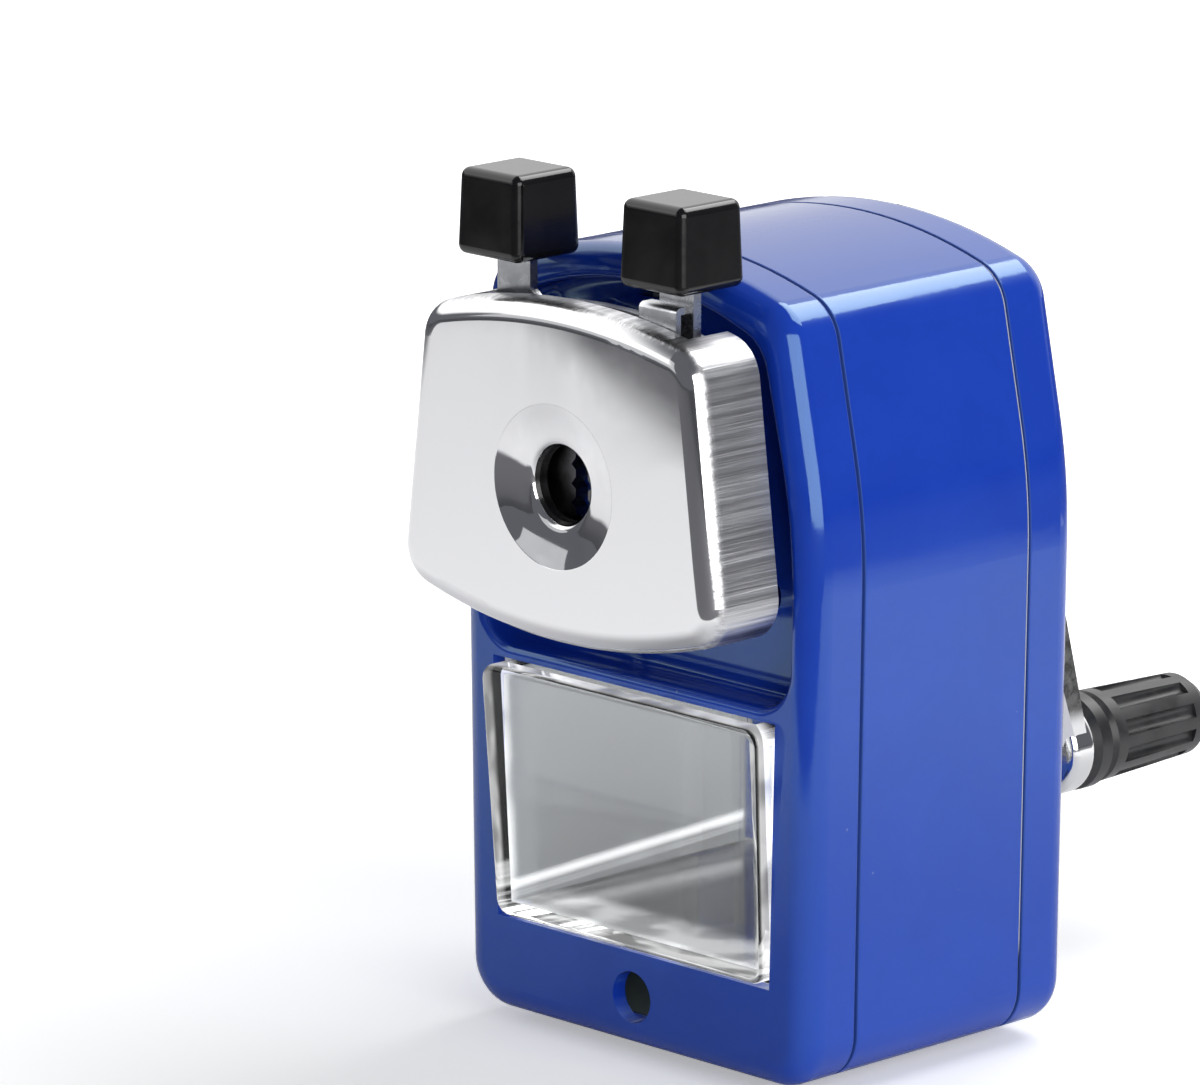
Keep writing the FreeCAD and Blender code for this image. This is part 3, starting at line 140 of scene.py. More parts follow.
within = calc(tree, "MULTIPLY", span(tree, from_bright.outputs["Value"], 0.37, 0.48, 1.0, 0.0),
              span(tree, forward, 0.176, 0.194, 1.0, 0.0))
mirrored = rays.outputs["Is Glossy Ray"]
beyond = calc(tree, "MULTIPLY", mirrored, calc(tree, "SUBTRACT", 1.0, within))
feed(tree, blend(tree, beyond, board_colour, board_far), shader.inputs["Base Color"])
straight = calc(tree, "MAXIMUM", rays.outputs["Is Camera Ray"], rays.outputs["Is Transmission Ray"])
clear_of_part = span(tree, reach.outputs["Value"], 0.06, 0.20, 0.0, mirror_lift)
sheen = calc(tree, "MULTIPLY", calc(tree, "MULTIPLY", within, mirrored), clear_of_part)
feed(tree, calc(tree, "MULTIPLY_ADD", lift, straight, sheen), shader.inputs["Emission Strength"])
half = 4.0
floor_mesh = bpy.data.meshes.new("pale_floor")
floor_mesh.from_pydata([(-half, -half, 0), (half, -half, 0), (half, half, 0), (-half, half, 0)], [], [(0, 1, 2, 3)])
floor_mesh.materials.append(board)
floor = bpy.data.objects.new("pale_floor", floor_mesh)
scene.collection.objects.link(floor)

# The light: a soft box high behind, a low one far to the right and a dim one to the left front, in a
# dusky room with a bright white sweep behind the sharpener.
room_dusk = (0.13, 0.135, 0.15, 1)
sweep_low = 0.15
sweep_high = 0.75
sweep_share = 0.30
world = bpy.data.worlds.new("studio")
scene.world = world
world.use_nodes = True
tree = world.node_tree
room = tree.nodes["Background"]
coords = add(tree, "ShaderNodeTexCoord")
way = add(tree, "ShaderNodeSeparateXYZ")
feed(tree, coords.outputs["Generated"], way.inputs[0])
rays = add(tree, "ShaderNodeLightPath")
behind = calc(tree, "MULTIPLY", span(tree, way.outputs["Y"], 0.35, 0.60),
              span(tree, way.outputs["X"], 0.10, 0.55, 1.0, 0.0))
high_left = calc(tree, "MULTIPLY", span(tree, way.outputs["X"], -0.62, -0.42, 1.0, 0.0),
                 span(tree, way.outputs["Z"], 0.20, 0.32))
sweep = calc(tree, "MULTIPLY", calc(tree, "MAXIMUM", behind, high_left),
             span(tree, rays.outputs["Is Glossy Ray"], 0, 1, sweep_share, 1.0))
feed(tree, blend(tree, sweep, room_dusk, (1, 1, 1, 1)), room.inputs["Color"])
rise = span(tree, way.outputs["Z"], 0.15, 0.70, sweep_low, sweep_high)
feed(tree, calc(tree, "MULTIPLY_ADD", sweep, rise, 1.0), room.inputs["Strength"])
white = add(tree, "ShaderNodeBackground", Color=(1, 1, 1, 1), Strength=1.0)
either = add(tree, "ShaderNodeMixShader")
feed(tree, calc(tree, "MAXIMUM", rays.outputs["Is Camera Ray"], rays.outputs["Is Transmission Ray"]),
     either.inputs[0])
feed(tree, room.outputs[0], either.inputs[1])
feed(tree, white.outputs[0], either.inputs[2])
feed(tree, either.outputs[0], tree.nodes["World Output"].inputs["Surface"])
for name, place, wide, tall, power in (
        ("top_box", (0.12, 0.46, 0.75), 0.70, 0.42, 4.4),
        ("right_box", (1.05, -0.32, 0.32), 1.05, 0.88, 10.4),
        ("left_box", (-0.55, -0.75, 0.40), 0.50, 0.50, 0.4)):
    lamp = bpy.data.lights.new(name, "AREA")
    lamp.shape = "RECTANGLE"
    lamp.size = wide
    lamp.size_y = tall
    lamp.energy = power
    box = bpy.data.objects.new(name, lamp)
    box.location = place
    box.rotation_mode = "QUATERNION"
    box.rotation_quaternion = (Vector((0, 0, 0.045)) - Vector(place)).to_track_quat("-Z", "Y")
    scene.collection.objects.link(box)


# Casing: a folded steel sleeve between two castings, sprayed in one glossy royal blue enamel. The outside has a faint
# orange peel, a few specks of dust and painted shade along its seam grooves; the inside is left in pale grey primer
# with a faint painted glow, near black lowest down.
def new_group(name, inputs, outputs):
    """An effect that several finishes share, with its labelled values."""
    group = bpy.data.node_groups.new(name, "ShaderNodeTree")
    for label, value in inputs:
        socket = group.interface.new_socket(label, in_out="INPUT", socket_type="NodeSocketFloat")
        socket.default_value = value
    for label, kind in outputs:
        group.interface.new_socket(label, in_out="OUTPUT", socket_type=kind)
    return group, add(group, "NodeGroupInput"), add(group, "NodeGroupOutput")


def place(tree, group, **values):
    """Put a shared effect into a finish, with its own values."""
    made = add(tree, "ShaderNodeGroup", node_tree=group)
    for word, value in values.items():
        made.inputs[word.replace("_", " ")].default_value = value
    return made


smudges, given, result = new_group("smudges", [("Scale", 60), ("Low", 0.1), ("High", 0.2)],
                                   [("Roughness", "NodeSocketFloat"), ("Mask", "NodeSocketFloat")])
coords = add(smudges, "ShaderNodeTexCoord")
clouds = add(smudges, "ShaderNodeTexNoise", Detail=5.0, Roughness=0.62, Distortion=0.4)
feed(smudges, coords.outputs["Object"], clouds.inputs["Vector"])
feed(smudges, given.outputs["Scale"], clouds.inputs["Scale"])
cloudy = span(smudges, clouds.outputs["Fac"], 0.36, 0.66)
spread = calc(smudges, "SUBTRACT", given.outputs["High"], given.outputs["Low"])
feed(smudges, calc(smudges, "MULTIPLY_ADD", cloudy, spread, given.outputs["Low"]), result.inputs["Roughness"])
feed(smudges, cloudy, result.inputs["Mask"])

grain, given, result = new_group("grain", [("Scale", 900), ("Strength", 0.05), ("Height", 0.0002)],
                                 [("Normal", "NodeSocketVector")])
coords = add(grain, "ShaderNodeTexCoord")
pits = add(grain, "ShaderNodeTexNoise", Detail=3.0, Roughness=0.55)
feed(grain, coords.outputs["Object"], pits.inputs["Vector"])
feed(grain, given.outputs["Scale"], pits.inputs["Scale"])
bump = add(grain, "ShaderNodeBump")
feed(grain, given.outputs["Strength"], bump.inputs["Strength"])
feed(grain, given.outputs["Height"], bump.inputs["Distance"])
feed(grain, pits.outputs["Fac"], bump.inputs["Height"])
feed(grain, bump.outputs["Normal"], result.inputs["Normal"])

specks, given, result = new_group("specks", [("Scale", 500), ("Size", 0.10), ("Share", 0.06)],
                                  [("Mask", "NodeSocketFloat")])
coords = add(specks, "ShaderNodeTexCoord")
cells = add(specks, "ShaderNodeTexVoronoi", feature="F1")
feed(specks, coords.outputs["Object"], cells.inputs["Vector"])
feed(specks, given.outputs["Scale"], cells.inputs["Scale"])
chance = add(specks, "ShaderNodeSeparateColor")
feed(specks, cells.outputs["Color"], chance.inputs[0])
chosen = calc(specks, "LESS_THAN", chance.outputs[0], given.outputs["Share"])
small = calc(specks, "LESS_THAN", cells.outputs["Distance"], given.outputs["Size"])
feed(specks, calc(specks, "MULTIPLY", chosen, small), result.inputs["Mask"])

blue_light = (0.009, 0.049, 0.440, 1)
blue_deep = (0.008, 0.043, 0.410, 1)
dust_colour = (0.26, 0.30, 0.50, 1)
primer_colour = (0.78, 0.79, 0.80, 1)
inside_painted_light = (0.11, 0.11, 0.11, 1)
inside_low_black = (0.008, 0.008, 0.008, 1)
enamel_sheen = (0.62, 1.0, 1.0, 1)
seam_shade = (0.004, 0.020, 0.180, 1)
seam_side = 0.0137
casing_middle = (0.0, 0.0, 0.045)


def enamel(name, inner_way):
    """The blue finish, with painted shade along its seams; faces that look the inner way, or into the casing round
    the drawer, are primer with a faint painted glow.
    """
    finish, tree, shader = new_finish(name)
    coords = add(tree, "ShaderNodeTexCoord")
    spot = add(tree, "ShaderNodeSeparateXYZ")
    feed(tree, coords.outputs["Object"], spot.inputs[0])
    outward = add(tree, "ShaderNodeVectorMath", operation="SUBTRACT")
    feed(tree, coords.outputs["Object"], outward.inputs[0])
    feed(tree, casing_middle, outward.inputs[1])
    toward = add(tree, "ShaderNodeVectorMath", operation="DOT_PRODUCT")
    feed(tree, coords.outputs["Normal"], toward.inputs[0])
    feed(tree, outward.outputs[0], toward.inputs[1])
    inside = calc(tree, "LESS_THAN", toward.outputs["Value"], -0.0005)
    if inner_way:
        beside = calc(tree, "MULTIPLY", span(tree, spot.outputs["Z"], 0.0125, 0.0135),
                      span(tree, spot.outputs["Z"], 0.0450, 0.0455, 1.0, 0.0))
        behind = calc(tree, "LESS_THAN", calc(tree, "ABSOLUTE", spot.outputs["Y"]), 0.0200)
        inside = calc(tree, "MULTIPLY", inside, calc(tree, "MULTIPLY", beside, behind))
        facing = add(tree, "ShaderNodeVectorMath", operation="DOT_PRODUCT")
        feed(tree, coords.outputs["Normal"], facing.inputs[0])
        feed(tree, inner_way, facing.inputs[1])
        inside = calc(tree, "MAXIMUM", inside, calc(tree, "GREATER_THAN", facing.outputs["Value"], 0.85))
    worn = place(tree, smudges, Scale=45, Low=0.07, High=0.15)
    dust = place(tree, specks, Scale=420, Size=0.07, Share=0.02)
    peel = place(tree, grain, Scale=520, Strength=0.05, Height=0.0002)
    colour = blend(tree, worn.outputs["Mask"], blue_deep, blue_light)
    colour = blend(tree, calc(tree, "MULTIPLY", dust.outputs["Mask"], 0.3), colour, dust_colour)
    # Painted shade: a darker, matt blue in a narrow band along each seam groove, where the sleeve meets a cover.
    from_seam = calc(tree, "SUBTRACT", calc(tree, "ABSOLUTE", spot.outputs["Y"]), seam_side)
    from_seam = calc(tree, "ABSOLUTE", from_seam)
    seam_painted_shade = span(tree, from_seam, 0.00015, 0.00045, 1.0, 0.0)
    colour = blend(tree, seam_painted_shade, colour, seam_shade)
    # Inside faces lowest in the casing are near black and do not glow.
    above = span(tree, spot.outputs["Z"], 0.0110, 0.0138)
    feed(tree, blend(tree, inside, colour, blend(tree, above, inside_low_black, primer_colour)),
         shader.inputs["Base Color"])
    # Painted light: the primer above the lowest band glows faintly, to brighten the inside seen through the drawer.
    feed(tree, blend(tree, calc(tree, "MULTIPLY", inside, above), (0, 0, 0, 1), inside_painted_light),
         shader.inputs["Emission Color"])
    shader.inputs["Emission Strength"].default_value = 1.0
    matt = calc(tree, "MAXIMUM", calc(tree, "MULTIPLY", inside, 0.4), calc(tree, "MULTIPLY", seam_painted_shade, 0.85))
    feed(tree, calc(tree, "ADD", matt, worn.outputs["Roughness"]), shader.inputs["Roughness"])
    feed(tree, peel.outputs["Normal"], shader.inputs["Normal"])
    shader.inputs["IOR"].default_value = 1.65
    shader.inputs["Specular Tint"].default_value = enamel_sheen
    return finish


def dress(finish, *names):
    """Give a finish to whole pieces of the frame."""
    for name in names:
        for slot in nodes[name].material_slots:
            slot.material = finish


dress(enamel("sleeve_enamel", None), "body_sleeve")
dress(enamel("front_enamel", (0, 1, 0)), "front_cover")
dress(enamel("rear_enamel", (0, -1, 0)), "rear_cover")

# Base pad: a slab of black rubber under the casing, with a dull skin that picks up dust.
rubber_colour = (0.014, 0.014, 0.015, 1)
rubber_dust = (0.060, 0.060, 0.060, 1)
rubber, tree, shader = new_finish("black_rubber")
worn = place(tree, smudges, Scale=120, Low=0.62, High=0.85)
skin = place(tree, grain, Scale=2600, Strength=0.35, Height=0.0002)
feed(tree, blend(tree, calc(tree, "MULTIPLY", worn.outputs["Mask"], 0.35), rubber_colour, rubber_dust),
     shader.inputs["Base Color"])
feed(tree, worn.outputs["Roughness"], shader.inputs["Roughness"])
feed(tree, skin.outputs["Normal"], shader.inputs["Normal"])
dress(rubber, "base_pad")

# Screws: cross-head steel screws with a thin bright zinc skin, two sunk in the rear cover and two that
# hold the pad from below. The CAD screws are plain, so these have the dome and the cross of real ones.
zinc_bright = (0.66, 0.67, 0.69, 1)
zinc_dull = (0.50, 0.51, 0.53, 1)


def zinc_skin(name, low, high):
    """Bright plated steel, a little cloudy."""
    finish, tree, shader = new_finish(name)
    worn = place(tree, smudges, Scale=180, Low=low, High=high)
    scratches = place(tree, grain, Scale=2200, Strength=0.08, Height=0.0001)
    feed(tree, blend(tree, worn.outputs["Mask"], zinc_bright, zinc_dull), shader.inputs["Base Color"])
    feed(tree, worn.outputs["Roughness"], shader.inputs["Roughness"])
    feed(tree, scratches.outputs["Normal"], shader.inputs["Normal"])
    shader.inputs["Metallic"].default_value = 1.0
    return finish


plated = zinc_skin("plated_steel", 0.18, 0.34)
mill_steel = zinc_skin("rolled_steel", 0.30, 0.48)


def turned(name, profile, steps=48):
    """A mesh turned about z from a profile of (radius, height) that ends on z or where it began."""
    mesh = bmesh.new()
    rings = []
    for radius, high in profile:
        if rings and (radius, high) == profile[0]:
            rings.append(rings[0])
            continue
        if radius == 0:
            rings.append([mesh.verts.new((0, 0, high))])
            continue
        rings.append([mesh.verts.new((radius * math.cos(2 * math.pi * step / steps),
                                      radius * math.sin(2 * math.pi * step / steps), high))
                      for step in range(steps)])
    for lower, upper in zip(rings, rings[1:]):
        for step in range(steps):
            after = (step + 1) % steps
            corners = [lower[step % len(lower)], lower[after % len(lower)], upper[after % len(upper)],
                       upper[step % len(upper)]]
            mesh.faces.new(list(dict.fromkeys(corners)))
    bmesh.ops.recalc_face_normals(mesh, faces=mesh.faces)
    made = bpy.data.meshes.new(name)
    mesh.to_mesh(made)
    mesh.free()
    return made


def cross_screw(name, head_radius, head_high, shank_radius, shank_long):
    """A pan-head screw standing on z, its seat at zero and its shank below, with a cross sunk in its head."""
    thread_pitch = 0.0007
    profile = [(0, -shank_long), (shank_radius * 0.6, -shank_long), (shank_radius * 0.85, -shank_long + thread_pitch)]
    turns = int((shank_long - 2 * thread_pitch) / thread_pitch)
    for step in range(turns):
        low = -shank_long + thread_pitch * (step + 1)
        profile += [(shank_radius, low + thread_pitch * 0.4), (shank_radius * 0.82, low + thread_pitch)]
    profile += [(shank_radius * 0.82, 0), (head_radius, 0), (head_radius, head_high * 0.35)]
    for step in range(1, 9):
        rise = step / 8
        profile.append((head_radius * math.cos(rise * math.pi / 2) if step < 8 else 0,
                        head_high * (0.35 + 0.65 * math.sin(rise * math.pi / 2))))
    body = bpy.data.objects.new(name, turned(name, profile))
    wing = head_radius * 0.62
    web = head_radius * 0.14
    sunk = head_high * 0.25
    cut = bmesh.new()
    for turn in (0, math.pi / 2):
        bar = bmesh.ops.create_cube(cut, size=1.0)["verts"]
        for corner in bar:
            narrow = 1.0 if corner.co.z > 0 else 0.45
            corner.co = Vector((corner.co.x * 2 * wing * narrow, corner.co.y * 2 * web * narrow,
                                sunk if corner.co.z < 0 else head_high * 1.2))
        bmesh.ops.rotate(cut, verts=bar, cent=(0, 0, 0), matrix=Matrix.Rotation(turn, 3, "Z"))
    cutter_mesh = bpy.data.meshes.new("cross_cut")
    cut.to_mesh(cutter_mesh)
    cut.free()
    cutter = bpy.data.objects.new("cross_cut", cutter_mesh)
    scene.collection.objects.link(body)
    scene.collection.objects.link(cutter)
    sinking = body.modifiers.new("cross", "BOOLEAN")
    sinking.operation = "DIFFERENCE"
    sinking.object = cutter
    sinking.use_self = True
    shaped = bpy.data.meshes.new_from_object(body.evaluated_get(bpy.context.evaluated_depsgraph_get()))
    for spare in (body, cutter):
        bpy.data.objects.remove(spare)
    return shaped


def screw_pair(name, shape, seats, turn, finish, node):
    """Two of the same screw, each on its own seat, in place of a CAD node."""
    mesh = bmesh.new()
    for seat, twist in seats:
        part = shape.copy()
        part.transform(Matrix.Translation(seat) @ turn @ Matrix.Rotation(math.radians(twist), 4, "Z"))
        mesh.from_mesh(part)
        bpy.data.meshes.remove(part)
    pair = bpy.data.meshes.new(name)
    mesh.to_mesh(pair)
    mesh.free()
    for face in pair.polygons:
        face.use_smooth = True
    pair.set_sharp_from_angle(angle=math.radians(32))
    pair.materials.clear()
    pair.materials.append(finish)
    screws = bpy.data.objects.new(name, pair)
    scene.collection.objects.link(screws)
    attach(screws, "casing")
    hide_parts(node)
    return screws


screw_head = 0.0027
low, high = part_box("case_screws")
head_high = 0.0016
seat_side, seat_depth, seat_height = high.x - screw_head, high.y - head_high, (low.z + high.z) / 2
case_screw = cross_screw("case_screw", screw_head, head_high, 0.0016, seat_depth - low.y)
screw_pair("case_screw_pair", case_screw,
           [(Vector((seat_side, seat_depth, seat_height)), 20), (Vector((-seat_side, seat_depth, seat_height)), 65)],
           Matrix.Rotation(-math.pi / 2, 4, "X"), plated, "case_screws")
low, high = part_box("base_screws")
head_high = 0.0010
seat_side, seat_depth, seat_height = high.x - screw_head, (low.y + high.y) / 2, low.z + head_high
base_screw = cross_screw("base_screw", screw_head, head_high, 0.0016, high.z - seat_height)
screw_pair("base_screw_pair", base_screw,
           [(Vector((seat_side, seat_depth, seat_height)), 10), (Vector((-seat_side, seat_depth, seat_height)), 40)],
           Matrix.Rotation(math.pi, 4, "X"), plated, "base_screws")

# Pillars, bracket and clips: plain plated steel inside the casing, pressed or turned and left as made.
dress(mill_steel, "case_pillars", "guide_bracket", "rod_clips", "lever_pivot_pins")

# Shavings drawer: one clear moulding with thick walls, polished inside and out, faintly scuffed. Its front edges
# carry patches of painted light, and a painted bright streak crosses its inner left wall.
clear_colour = (0.955, 0.965, 0.970, 1)
clear, tree, shader = new_finish("clear_plastic")
shader.inputs["Base Color"].default_value = clear_colour
shader.inputs["Transmission Weight"].default_value = 1.0
shader.inputs["IOR"].default_value = 1.49
worn = place(tree, smudges, Scale=70, Low=0.015, High=0.07)
ripple = place(tree, grain, Scale=140, Strength=0.012, Height=0.0005)
feed(tree, worn.outputs["Roughness"], shader.inputs["Roughness"])
feed(tree, ripple.outputs["Normal"], shader.inputs["Normal"])
low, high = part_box("drawer")
coords = add(tree, "ShaderNodeTexCoord")
facing = add(tree, "ShaderNodeSeparateXYZ")
feed(tree, coords.outputs["Normal"], facing.inputs[0])
spot = add(tree, "ShaderNodeSeparateXYZ")
feed(tree, coords.outputs["Object"], spot.inputs[0])
front_lean = 0.0018
lean_share = front_lean / (high.z - low.z)
deep = calc(tree, "MULTIPLY_ADD", spot.outputs["Z"], lean_share, spot.outputs["Y"])
deep = calc(tree, "SUBTRACT", deep, low.y + high.z * lean_share)
# Painted highlight: the front rims, and the lower edges near the front, glow in patches.
edgewise = span(tree, calc(tree, "ABSOLUTE", facing.outputs["Y"]), 0.3, 0.7, 1.0, 0.0)
underside = span(tree, spot.outputs["Z"], low.z + 0.0004, low.z + 0.0010, 1.0, 0.0)
rim = calc(tree, "MAXIMUM", span(tree, deep, 0.0026, 0.0042, 1.0, 0.0),
           calc(tree, "MULTIPLY", underside, span(tree, deep, 0.009, 0.013, 1.0, 0.0)))
rim = calc(tree, "MULTIPLY", rim, edgewise)
# Painted highlight: a bright double streak of emission runs up the inner left wall from front to rear.
left_inner = calc(tree, "MULTIPLY", calc(tree, "GREATER_THAN", facing.outputs["X"], 0.5),
                  calc(tree, "LESS_THAN", spot.outputs["X"], -0.018))
climb = calc(tree, "MULTIPLY_ADD", calc(tree, "SUBTRACT", spot.outputs["Y"], low.y), -0.03, spot.outputs["Z"])
broad = calc(tree, "ABSOLUTE", calc(tree, "SUBTRACT", climb, low.z + 0.0033))
fine = calc(tree, "ABSOLUTE", calc(tree, "SUBTRACT", climb, low.z + 0.0020))
streak_painted_light = calc(tree, "MAXIMUM", span(tree, broad, 0.0002, 0.0008, 1.0, 0.0), span(tree, fine, 0.0, 0.0003, 0.5, 0.0))
streak_painted_light = calc(tree, "MULTIPLY", left_inner, streak_painted_light)
patches = add(tree, "ShaderNodeTexNoise", Scale=140.0, Detail=2.0)
feed(tree, coords.outputs["Object"], patches.inputs["Vector"])
patchy = span(tree, patches.outputs["Fac"], 0.40, 0.60, 0.24, 0.62)
drawer_painted_light = calc(tree, "MULTIPLY_ADD", streak_painted_light, 0.45, calc(tree, "MULTIPLY", rim, patchy))
feed(tree, blend(tree, drawer_painted_light, (0, 0, 0, 1), (1, 1, 1, 1)), shader.inputs["Emission Color"])
shader.inputs["Emission Strength"].default_value = 1.0
dress(clear, "drawer")

# Faceplate: drawn sheet steel, bright plated. Its front is polished and its side walls keep the fine
# lines of the drawing tool, from front to rear.
chrome_bright = (0.80, 0.80, 0.81, 1)
chrome_dull = (0.72, 0.72, 0.73, 1)
line_grey = (0.44, 0.44, 0.45, 1)
dome_middle = (0.0, -0.0345, 0.0706)
dome_radius = 0.90

tool_lines, given, result = new_group("tool_lines", [("Across", 900), ("Along", 12), ("Strength", 0.1)],
                                      [("Normal", "NodeSocketVector"), ("Mask", "NodeSocketFloat")])
coords = add(tool_lines, "ShaderNodeTexCoord")
stretch = add(tool_lines, "ShaderNodeCombineXYZ")
feed(tool_lines, given.outputs["Across"], stretch.inputs["X"])
feed(tool_lines, given.outputs["Along"], stretch.inputs["Y"])
feed(tool_lines, given.outputs["Across"], stretch.inputs["Z"])
drawn = add(tool_lines, "ShaderNodeVectorMath", operation="MULTIPLY")
feed(tool_lines, coords.outputs["Object"], drawn.inputs[0])
feed(tool_lines, stretch.outputs[0], drawn.inputs[1])
lines = add(tool_lines, "ShaderNodeTexNoise", Scale=1.0, Detail=4.0, Roughness=0.65)
feed(tool_lines, drawn.outputs[0], lines.inputs["Vector"])
bump = add(tool_lines, "ShaderNodeBump", Distance=0.0001)
feed(tool_lines, given.outputs["Strength"], bump.inputs["Strength"])
feed(tool_lines, lines.outputs["Fac"], bump.inputs["Height"])
feed(tool_lines, bump.outputs["Normal"], result.inputs["Normal"])
feed(tool_lines, span(tool_lines, lines.outputs["Fac"], 0.35, 0.65), result.inputs["Mask"])


def bright_plate(name, low, high, lined):
    """Bright plating: polished, with tool lines on the faces that look to the side where it is lined."""
    finish, tree, shader = new_finish(name)
    worn = place(tree, smudges, Scale=55, Low=low, High=high)
    shader.inputs["Metallic"].default_value = 1.0
    if not lined:
        polish = place(tree, grain, Scale=300, Strength=0.02, Height=0.0002)
        feed(tree, blend(tree, worn.outputs["Mask"], chrome_bright, chrome_dull), shader.inputs["Base Color"])
        feed(tree, worn.outputs["Roughness"], shader.inputs["Roughness"])
        feed(tree, polish.outputs["Normal"], shader.inputs["Normal"])
        return finish
    coords = add(tree, "ShaderNodeTexCoord")
    facing = add(tree, "ShaderNodeSeparateXYZ")
    feed(tree, coords.outputs["Normal"], facing.inputs[0])
    side = span(tree, calc(tree, "ABSOLUTE", facing.outputs["Y"]), 0.2, 0.75, 1.0, 0.0)
    drawn = place(tree, tool_lines, Across=1400, Along=25, Strength=0.8)
    from_hole = add(tree, "ShaderNodeVectorMath", operation="DISTANCE")
    feed(tree, coords.outputs["Object"], from_hole.inputs[0])
    feed(tree, dome_middle, from_hole.inputs[1])
    fall = calc(tree, "MULTIPLY", calc(tree, "POWER", from_hole.outputs["Value"], 2.0), -0.5 / dome_radius)
    plain = add(tree, "ShaderNodeBump", Distance=1.0)
    feed(tree, fall, plain.inputs["Height"])
    tilt = add(tree, "ShaderNodeMix", data_type="VECTOR")
    feed(tree, side, tilt.inputs[0])
    feed(tree, plain.outputs["Normal"], tilt.inputs[4])
    feed(tree, drawn.outputs["Normal"], tilt.inputs[5])
    lined_colour = blend(tree, drawn.outputs["Mask"], chrome_bright, line_grey)
    feed(tree, blend(tree, side, chrome_bright, lined_colour), shader.inputs["Base Color"])
    feed(tree, calc(tree, "MULTIPLY_ADD", side, 0.26, worn.outputs["Roughness"]), shader.inputs["Roughness"])
    feed(tree, tilt.outputs[1], shader.inputs["Normal"])
    return finish


dress(bright_plate("drawn_plate", 0.05, 0.10, True), "faceplate")
polished = bright_plate("polished_plate", 0.03, 0.08, False)


def add_piece(name, mesh, finish, body):
    """A piece of the scene's own, smooth but for its creases, carried by a body of the frame."""
    for face in mesh.polygons:
        face.use_smooth = True
    mesh.set_sharp_from_angle(angle=math.radians(40))
    mesh.materials.append(finish)
    made = bpy.data.objects.new(name, mesh)
    scene.collection.objects.link(made)
    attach(made, body)
    return made


# Dish: the faceplate's dimple is polished down to the hole, where its lip rolls in over the bush.
dish_front = [(9.55, 0.03), (9.2, 0.14), (8.8, 0.27), (8.0, 0.52), (7.2, 0.74), (6.4, 0.92), (5.7, 1.06),
              (5.2, 1.16), (4.9, 1.27), (4.70, 1.44), (4.60, 1.70)]
dish_rear = [(radius + 0.08, deep + 0.10) for radius, deep in reversed(dish_front[1:])]
dish = turned("polished_dish", [(radius / 1000, -deep / 1000)
                                for radius, deep in dish_front + dish_rear + dish_front[:1]], 96)
dish.transform(Matrix.Translation(dome_middle) @ Matrix.Rotation(math.pi / 2, 4, "X"))
add_piece("polished_dish", dish, polished, "faceplate_body")

# Bushes: black moulded rings that lead the pencil through the faceplate and the casing, satin and grained.
plastic_black = (0.004, 0.004, 0.0045, 1)
plastic_grey = (0.008, 0.008, 0.0085, 1)


def moulded_black(name, low, high, pitted, dark=plastic_black, pale=plastic_grey):
    """Black moulding plastic with a fine spark-eroded grain and a trace of handling."""
    finish, tree, shader = new_finish(name)
    worn = place(tree, smudges, Scale=150, Low=low, High=high)
    skin = place(tree, grain, Scale=3200, Strength=pitted, Height=0.0001)
    dust = place(tree, specks, Scale=900, Size=0.10, Share=0.03)
    colour = blend(tree, worn.outputs["Mask"], dark, pale)
    feed(tree, blend(tree, calc(tree, "MULTIPLY", dust.outputs["Mask"], 0.15), colour, dust_colour),
         shader.inputs["Base Color"])
    feed(tree, worn.outputs["Roughness"], shader.inputs["Roughness"])
    feed(tree, skin.outputs["Normal"], shader.inputs["Normal"])
    return finish


satin_black = moulded_black("satin_black", 0.20, 0.32, 0.06)
gloss_black = moulded_black("gloss_black", 0.09, 0.17, 0.02)
dress(satin_black, "pencil_bush", "front_bush")

# Backplate, rods and rail: the steel plate inside the faceplate and the bright bars it slides on.
dress(mill_steel, "gripper_backplate")
dress(polished, "left_guide_rod", "right_guide_rod", "top_rail")

# Gripping levers: stamped steel strips with hardened toothed jaws below and black moulded knobs above.
blued_dark = (0.17, 0.17, 0.18, 1)
blued_light = (0.26, 0.26, 0.27, 1)


def hardened(name, low, high):
    """Hardened steel, dark from the heat and ground at its edges."""
    finish, tree, shader = new_finish(name)
    worn = place(tree, smudges, Scale=220, Low=low, High=high)
    ground = place(tree, tool_lines, Across=1500, Along=200, Strength=0.2)
    feed(tree, blend(tree, worn.outputs["Mask"], blued_dark, blued_light), shader.inputs["Base Color"])
    feed(tree, worn.outputs["Roughness"], shader.inputs["Roughness"])
    feed(tree, ground.outputs["Normal"], shader.inputs["Normal"])
    shader.inputs["Metallic"].default_value = 1.0
    return finish


dark_steel = hardened("hardened_steel", 0.28, 0.42)
dress(plated, "left_lever", "right_lever")
dress(dark_steel, "left_jaw", "right_jaw")
dress(gloss_black, "left_knob", "right_knob")

# Lip: the right strip is folded forward and down into the faceplate's notch, where it stops the lever.
low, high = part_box("right_lever")
strip_front, strip_right = low.y, high.x
fold_high, fold_reach, sheet = 0.0928, 0.0021, 0.0008
fold = [(strip_front + 0.0001, fold_high), (strip_front - fold_reach + 0.0006, fold_high),
        (strip_front - fold_reach + 0.0002, fold_high - 0.0002), (strip_front - fold_reach, fold_high - 0.0006),
        (strip_front - fold_reach, fold_high - 0.0042), (strip_front - fold_reach + sheet, fold_high - 0.0042),
        (strip_front - fold_reach + sheet, fold_high - sheet), (strip_front + 0.0001, fold_high - sheet)]
mesh = bmesh.new()
ends = [[mesh.verts.new((side, deep, tall)) for deep, tall in fold] for side in (0.0093, 0.0152)]
mesh.faces.new(ends[0])
mesh.faces.new(ends[1])
for step in range(len(fold)):
    mesh.faces.new((ends[0][step - 1], ends[0][step], ends[1][step], ends[1][step - 1]))
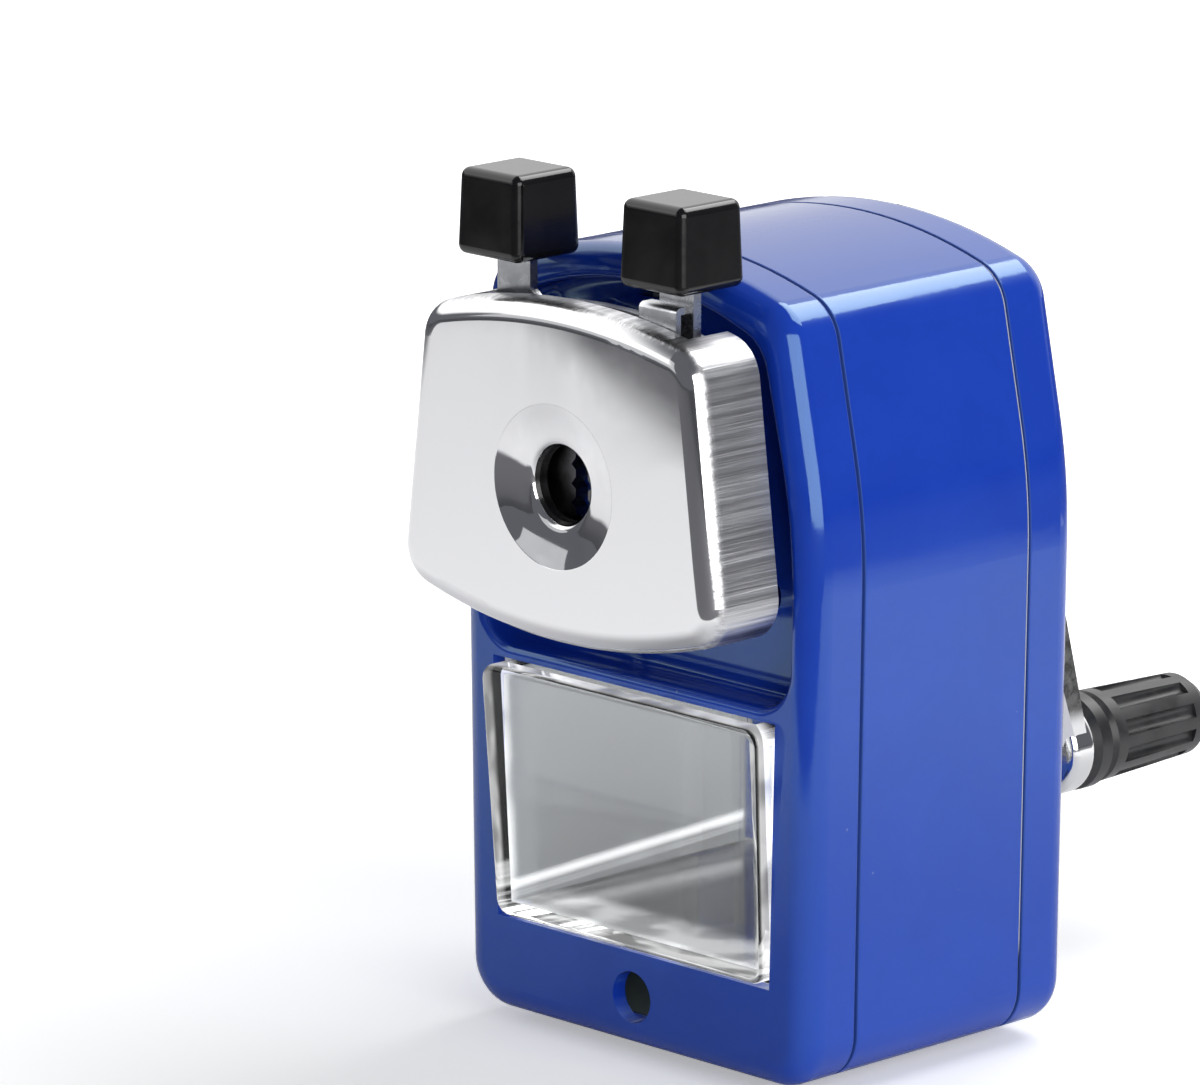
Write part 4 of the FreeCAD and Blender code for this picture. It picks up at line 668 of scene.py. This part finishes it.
bmesh.ops.recalc_face_normals(mesh, faces=mesh.faces)
lip = bpy.data.meshes.new("lever_lip")
mesh.to_mesh(lip)
mesh.free()
add_piece("lever_lip", lip, plated, "right_lever_body")

# Springs: drawn wire, wound round the guide rods, where the clips press them against the bracket as the
# faceplate is drawn out, and between the levers, which press theirs from both ends.
spring_wire = zinc_skin("spring_wire", 0.22, 0.36)
dress(spring_wire, "left_feed_spring", "right_feed_spring", "lever_spring")
for name in ("left_feed_spring", "right_feed_spring"):
    low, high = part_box(name)
    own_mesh(nodes[name])
low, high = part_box("lever_spring")
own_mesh(nodes["lever_spring"])

# Cutter cartridge: a black housing with a toothed finger ring, a dark ring gear and a brass bearing.
brass_warm = (0.72, 0.52, 0.22, 1)
brass_brown = (0.55, 0.38, 0.15, 1)
brass, tree, shader = new_finish("turned_brass")
worn = place(tree, smudges, Scale=200, Low=0.22, High=0.38)
feed(tree, blend(tree, worn.outputs["Mask"], brass_warm, brass_brown), shader.inputs["Base Color"])
feed(tree, worn.outputs["Roughness"], shader.inputs["Roughness"])
feed(tree, place(tree, grain, Scale=1800, Strength=0.1, Height=0.0001).outputs["Normal"], shader.inputs["Normal"])
shader.inputs["Metallic"].default_value = 1.0
dress(gloss_black, "cutter_housing")
dress(dark_steel, "ring_gear")
dress(brass, "shaft_bush")

# Carrier and cutter: a zinc casting with the sand of its mould, a turned pin and a hardened fluted roller.
casting_grey = (0.46, 0.47, 0.49, 1)
casting_dark = (0.34, 0.35, 0.37, 1)
casting, tree, shader = new_finish("zinc_casting")
worn = place(tree, smudges, Scale=160, Low=0.42, High=0.62)
feed(tree, blend(tree, worn.outputs["Mask"], casting_grey, casting_dark), shader.inputs["Base Color"])
feed(tree, worn.outputs["Roughness"], shader.inputs["Roughness"])
feed(tree, place(tree, grain, Scale=2000, Strength=0.4, Height=0.0002).outputs["Normal"], shader.inputs["Normal"])
shader.inputs["Metallic"].default_value = 1.0
dress(casting, "cutter_carrier")
dress(plated, "crank_shaft", "cutter_pin", "cutter_pinion")
dress(dark_steel, "helical_cutter")

# Crank: a bright plated dish and arm, and a fluted black grip that turns on its headed axle.
# The arm's side faces above the boss are dark and rough, partly for their sheared finish and partly as a painted dark
# reflection.
sheared_shaded_dark = (0.06, 0.06, 0.06, 1)
sheared_shaded_pale = (0.20, 0.20, 0.20, 1)
arm_plate, tree, shader = new_finish("sheared_plate")
shader.inputs["Metallic"].default_value = 1.0
worn = place(tree, smudges, Scale=55, Low=0.03, High=0.08)
torn = place(tree, smudges, Scale=700, Low=0.30, High=0.50)
polish = place(tree, grain, Scale=300, Strength=0.02, Height=0.0002)
coords = add(tree, "ShaderNodeTexCoord")
facing = add(tree, "ShaderNodeSeparateXYZ")
feed(tree, coords.outputs["Normal"], facing.inputs[0])
spot = add(tree, "ShaderNodeSeparateXYZ")
feed(tree, coords.outputs["Object"], spot.inputs[0])
edge = calc(tree, "MULTIPLY", span(tree, calc(tree, "ABSOLUTE", facing.outputs["X"]), 0.72, 0.84),
            span(tree, spot.outputs["Z"], 0.0285, 0.0315))
edge_shaded_colour = blend(tree, torn.outputs["Mask"], sheared_shaded_dark, sheared_shaded_pale)
feed(tree, blend(tree, edge, chrome_bright, edge_shaded_colour), shader.inputs["Base Color"])
feed(tree, calc(tree, "MULTIPLY_ADD", edge, torn.outputs["Roughness"], worn.outputs["Roughness"]),
     shader.inputs["Roughness"])
feed(tree, polish.outputs["Normal"], shader.inputs["Normal"])
dress(polished, "hub_cap")
dress(arm_plate, "crank_arm")
dress(plated, "grip_axle")
grip_dark = (0.016, 0.016, 0.017, 1)
grip_worn = (0.036, 0.036, 0.037, 1)
grip_black = moulded_black("grip_black", 0.30, 0.44, 0.05, grip_dark, grip_worn)
dress(grip_black, "grip_collar", "handle_grip", "grip_end_plug")
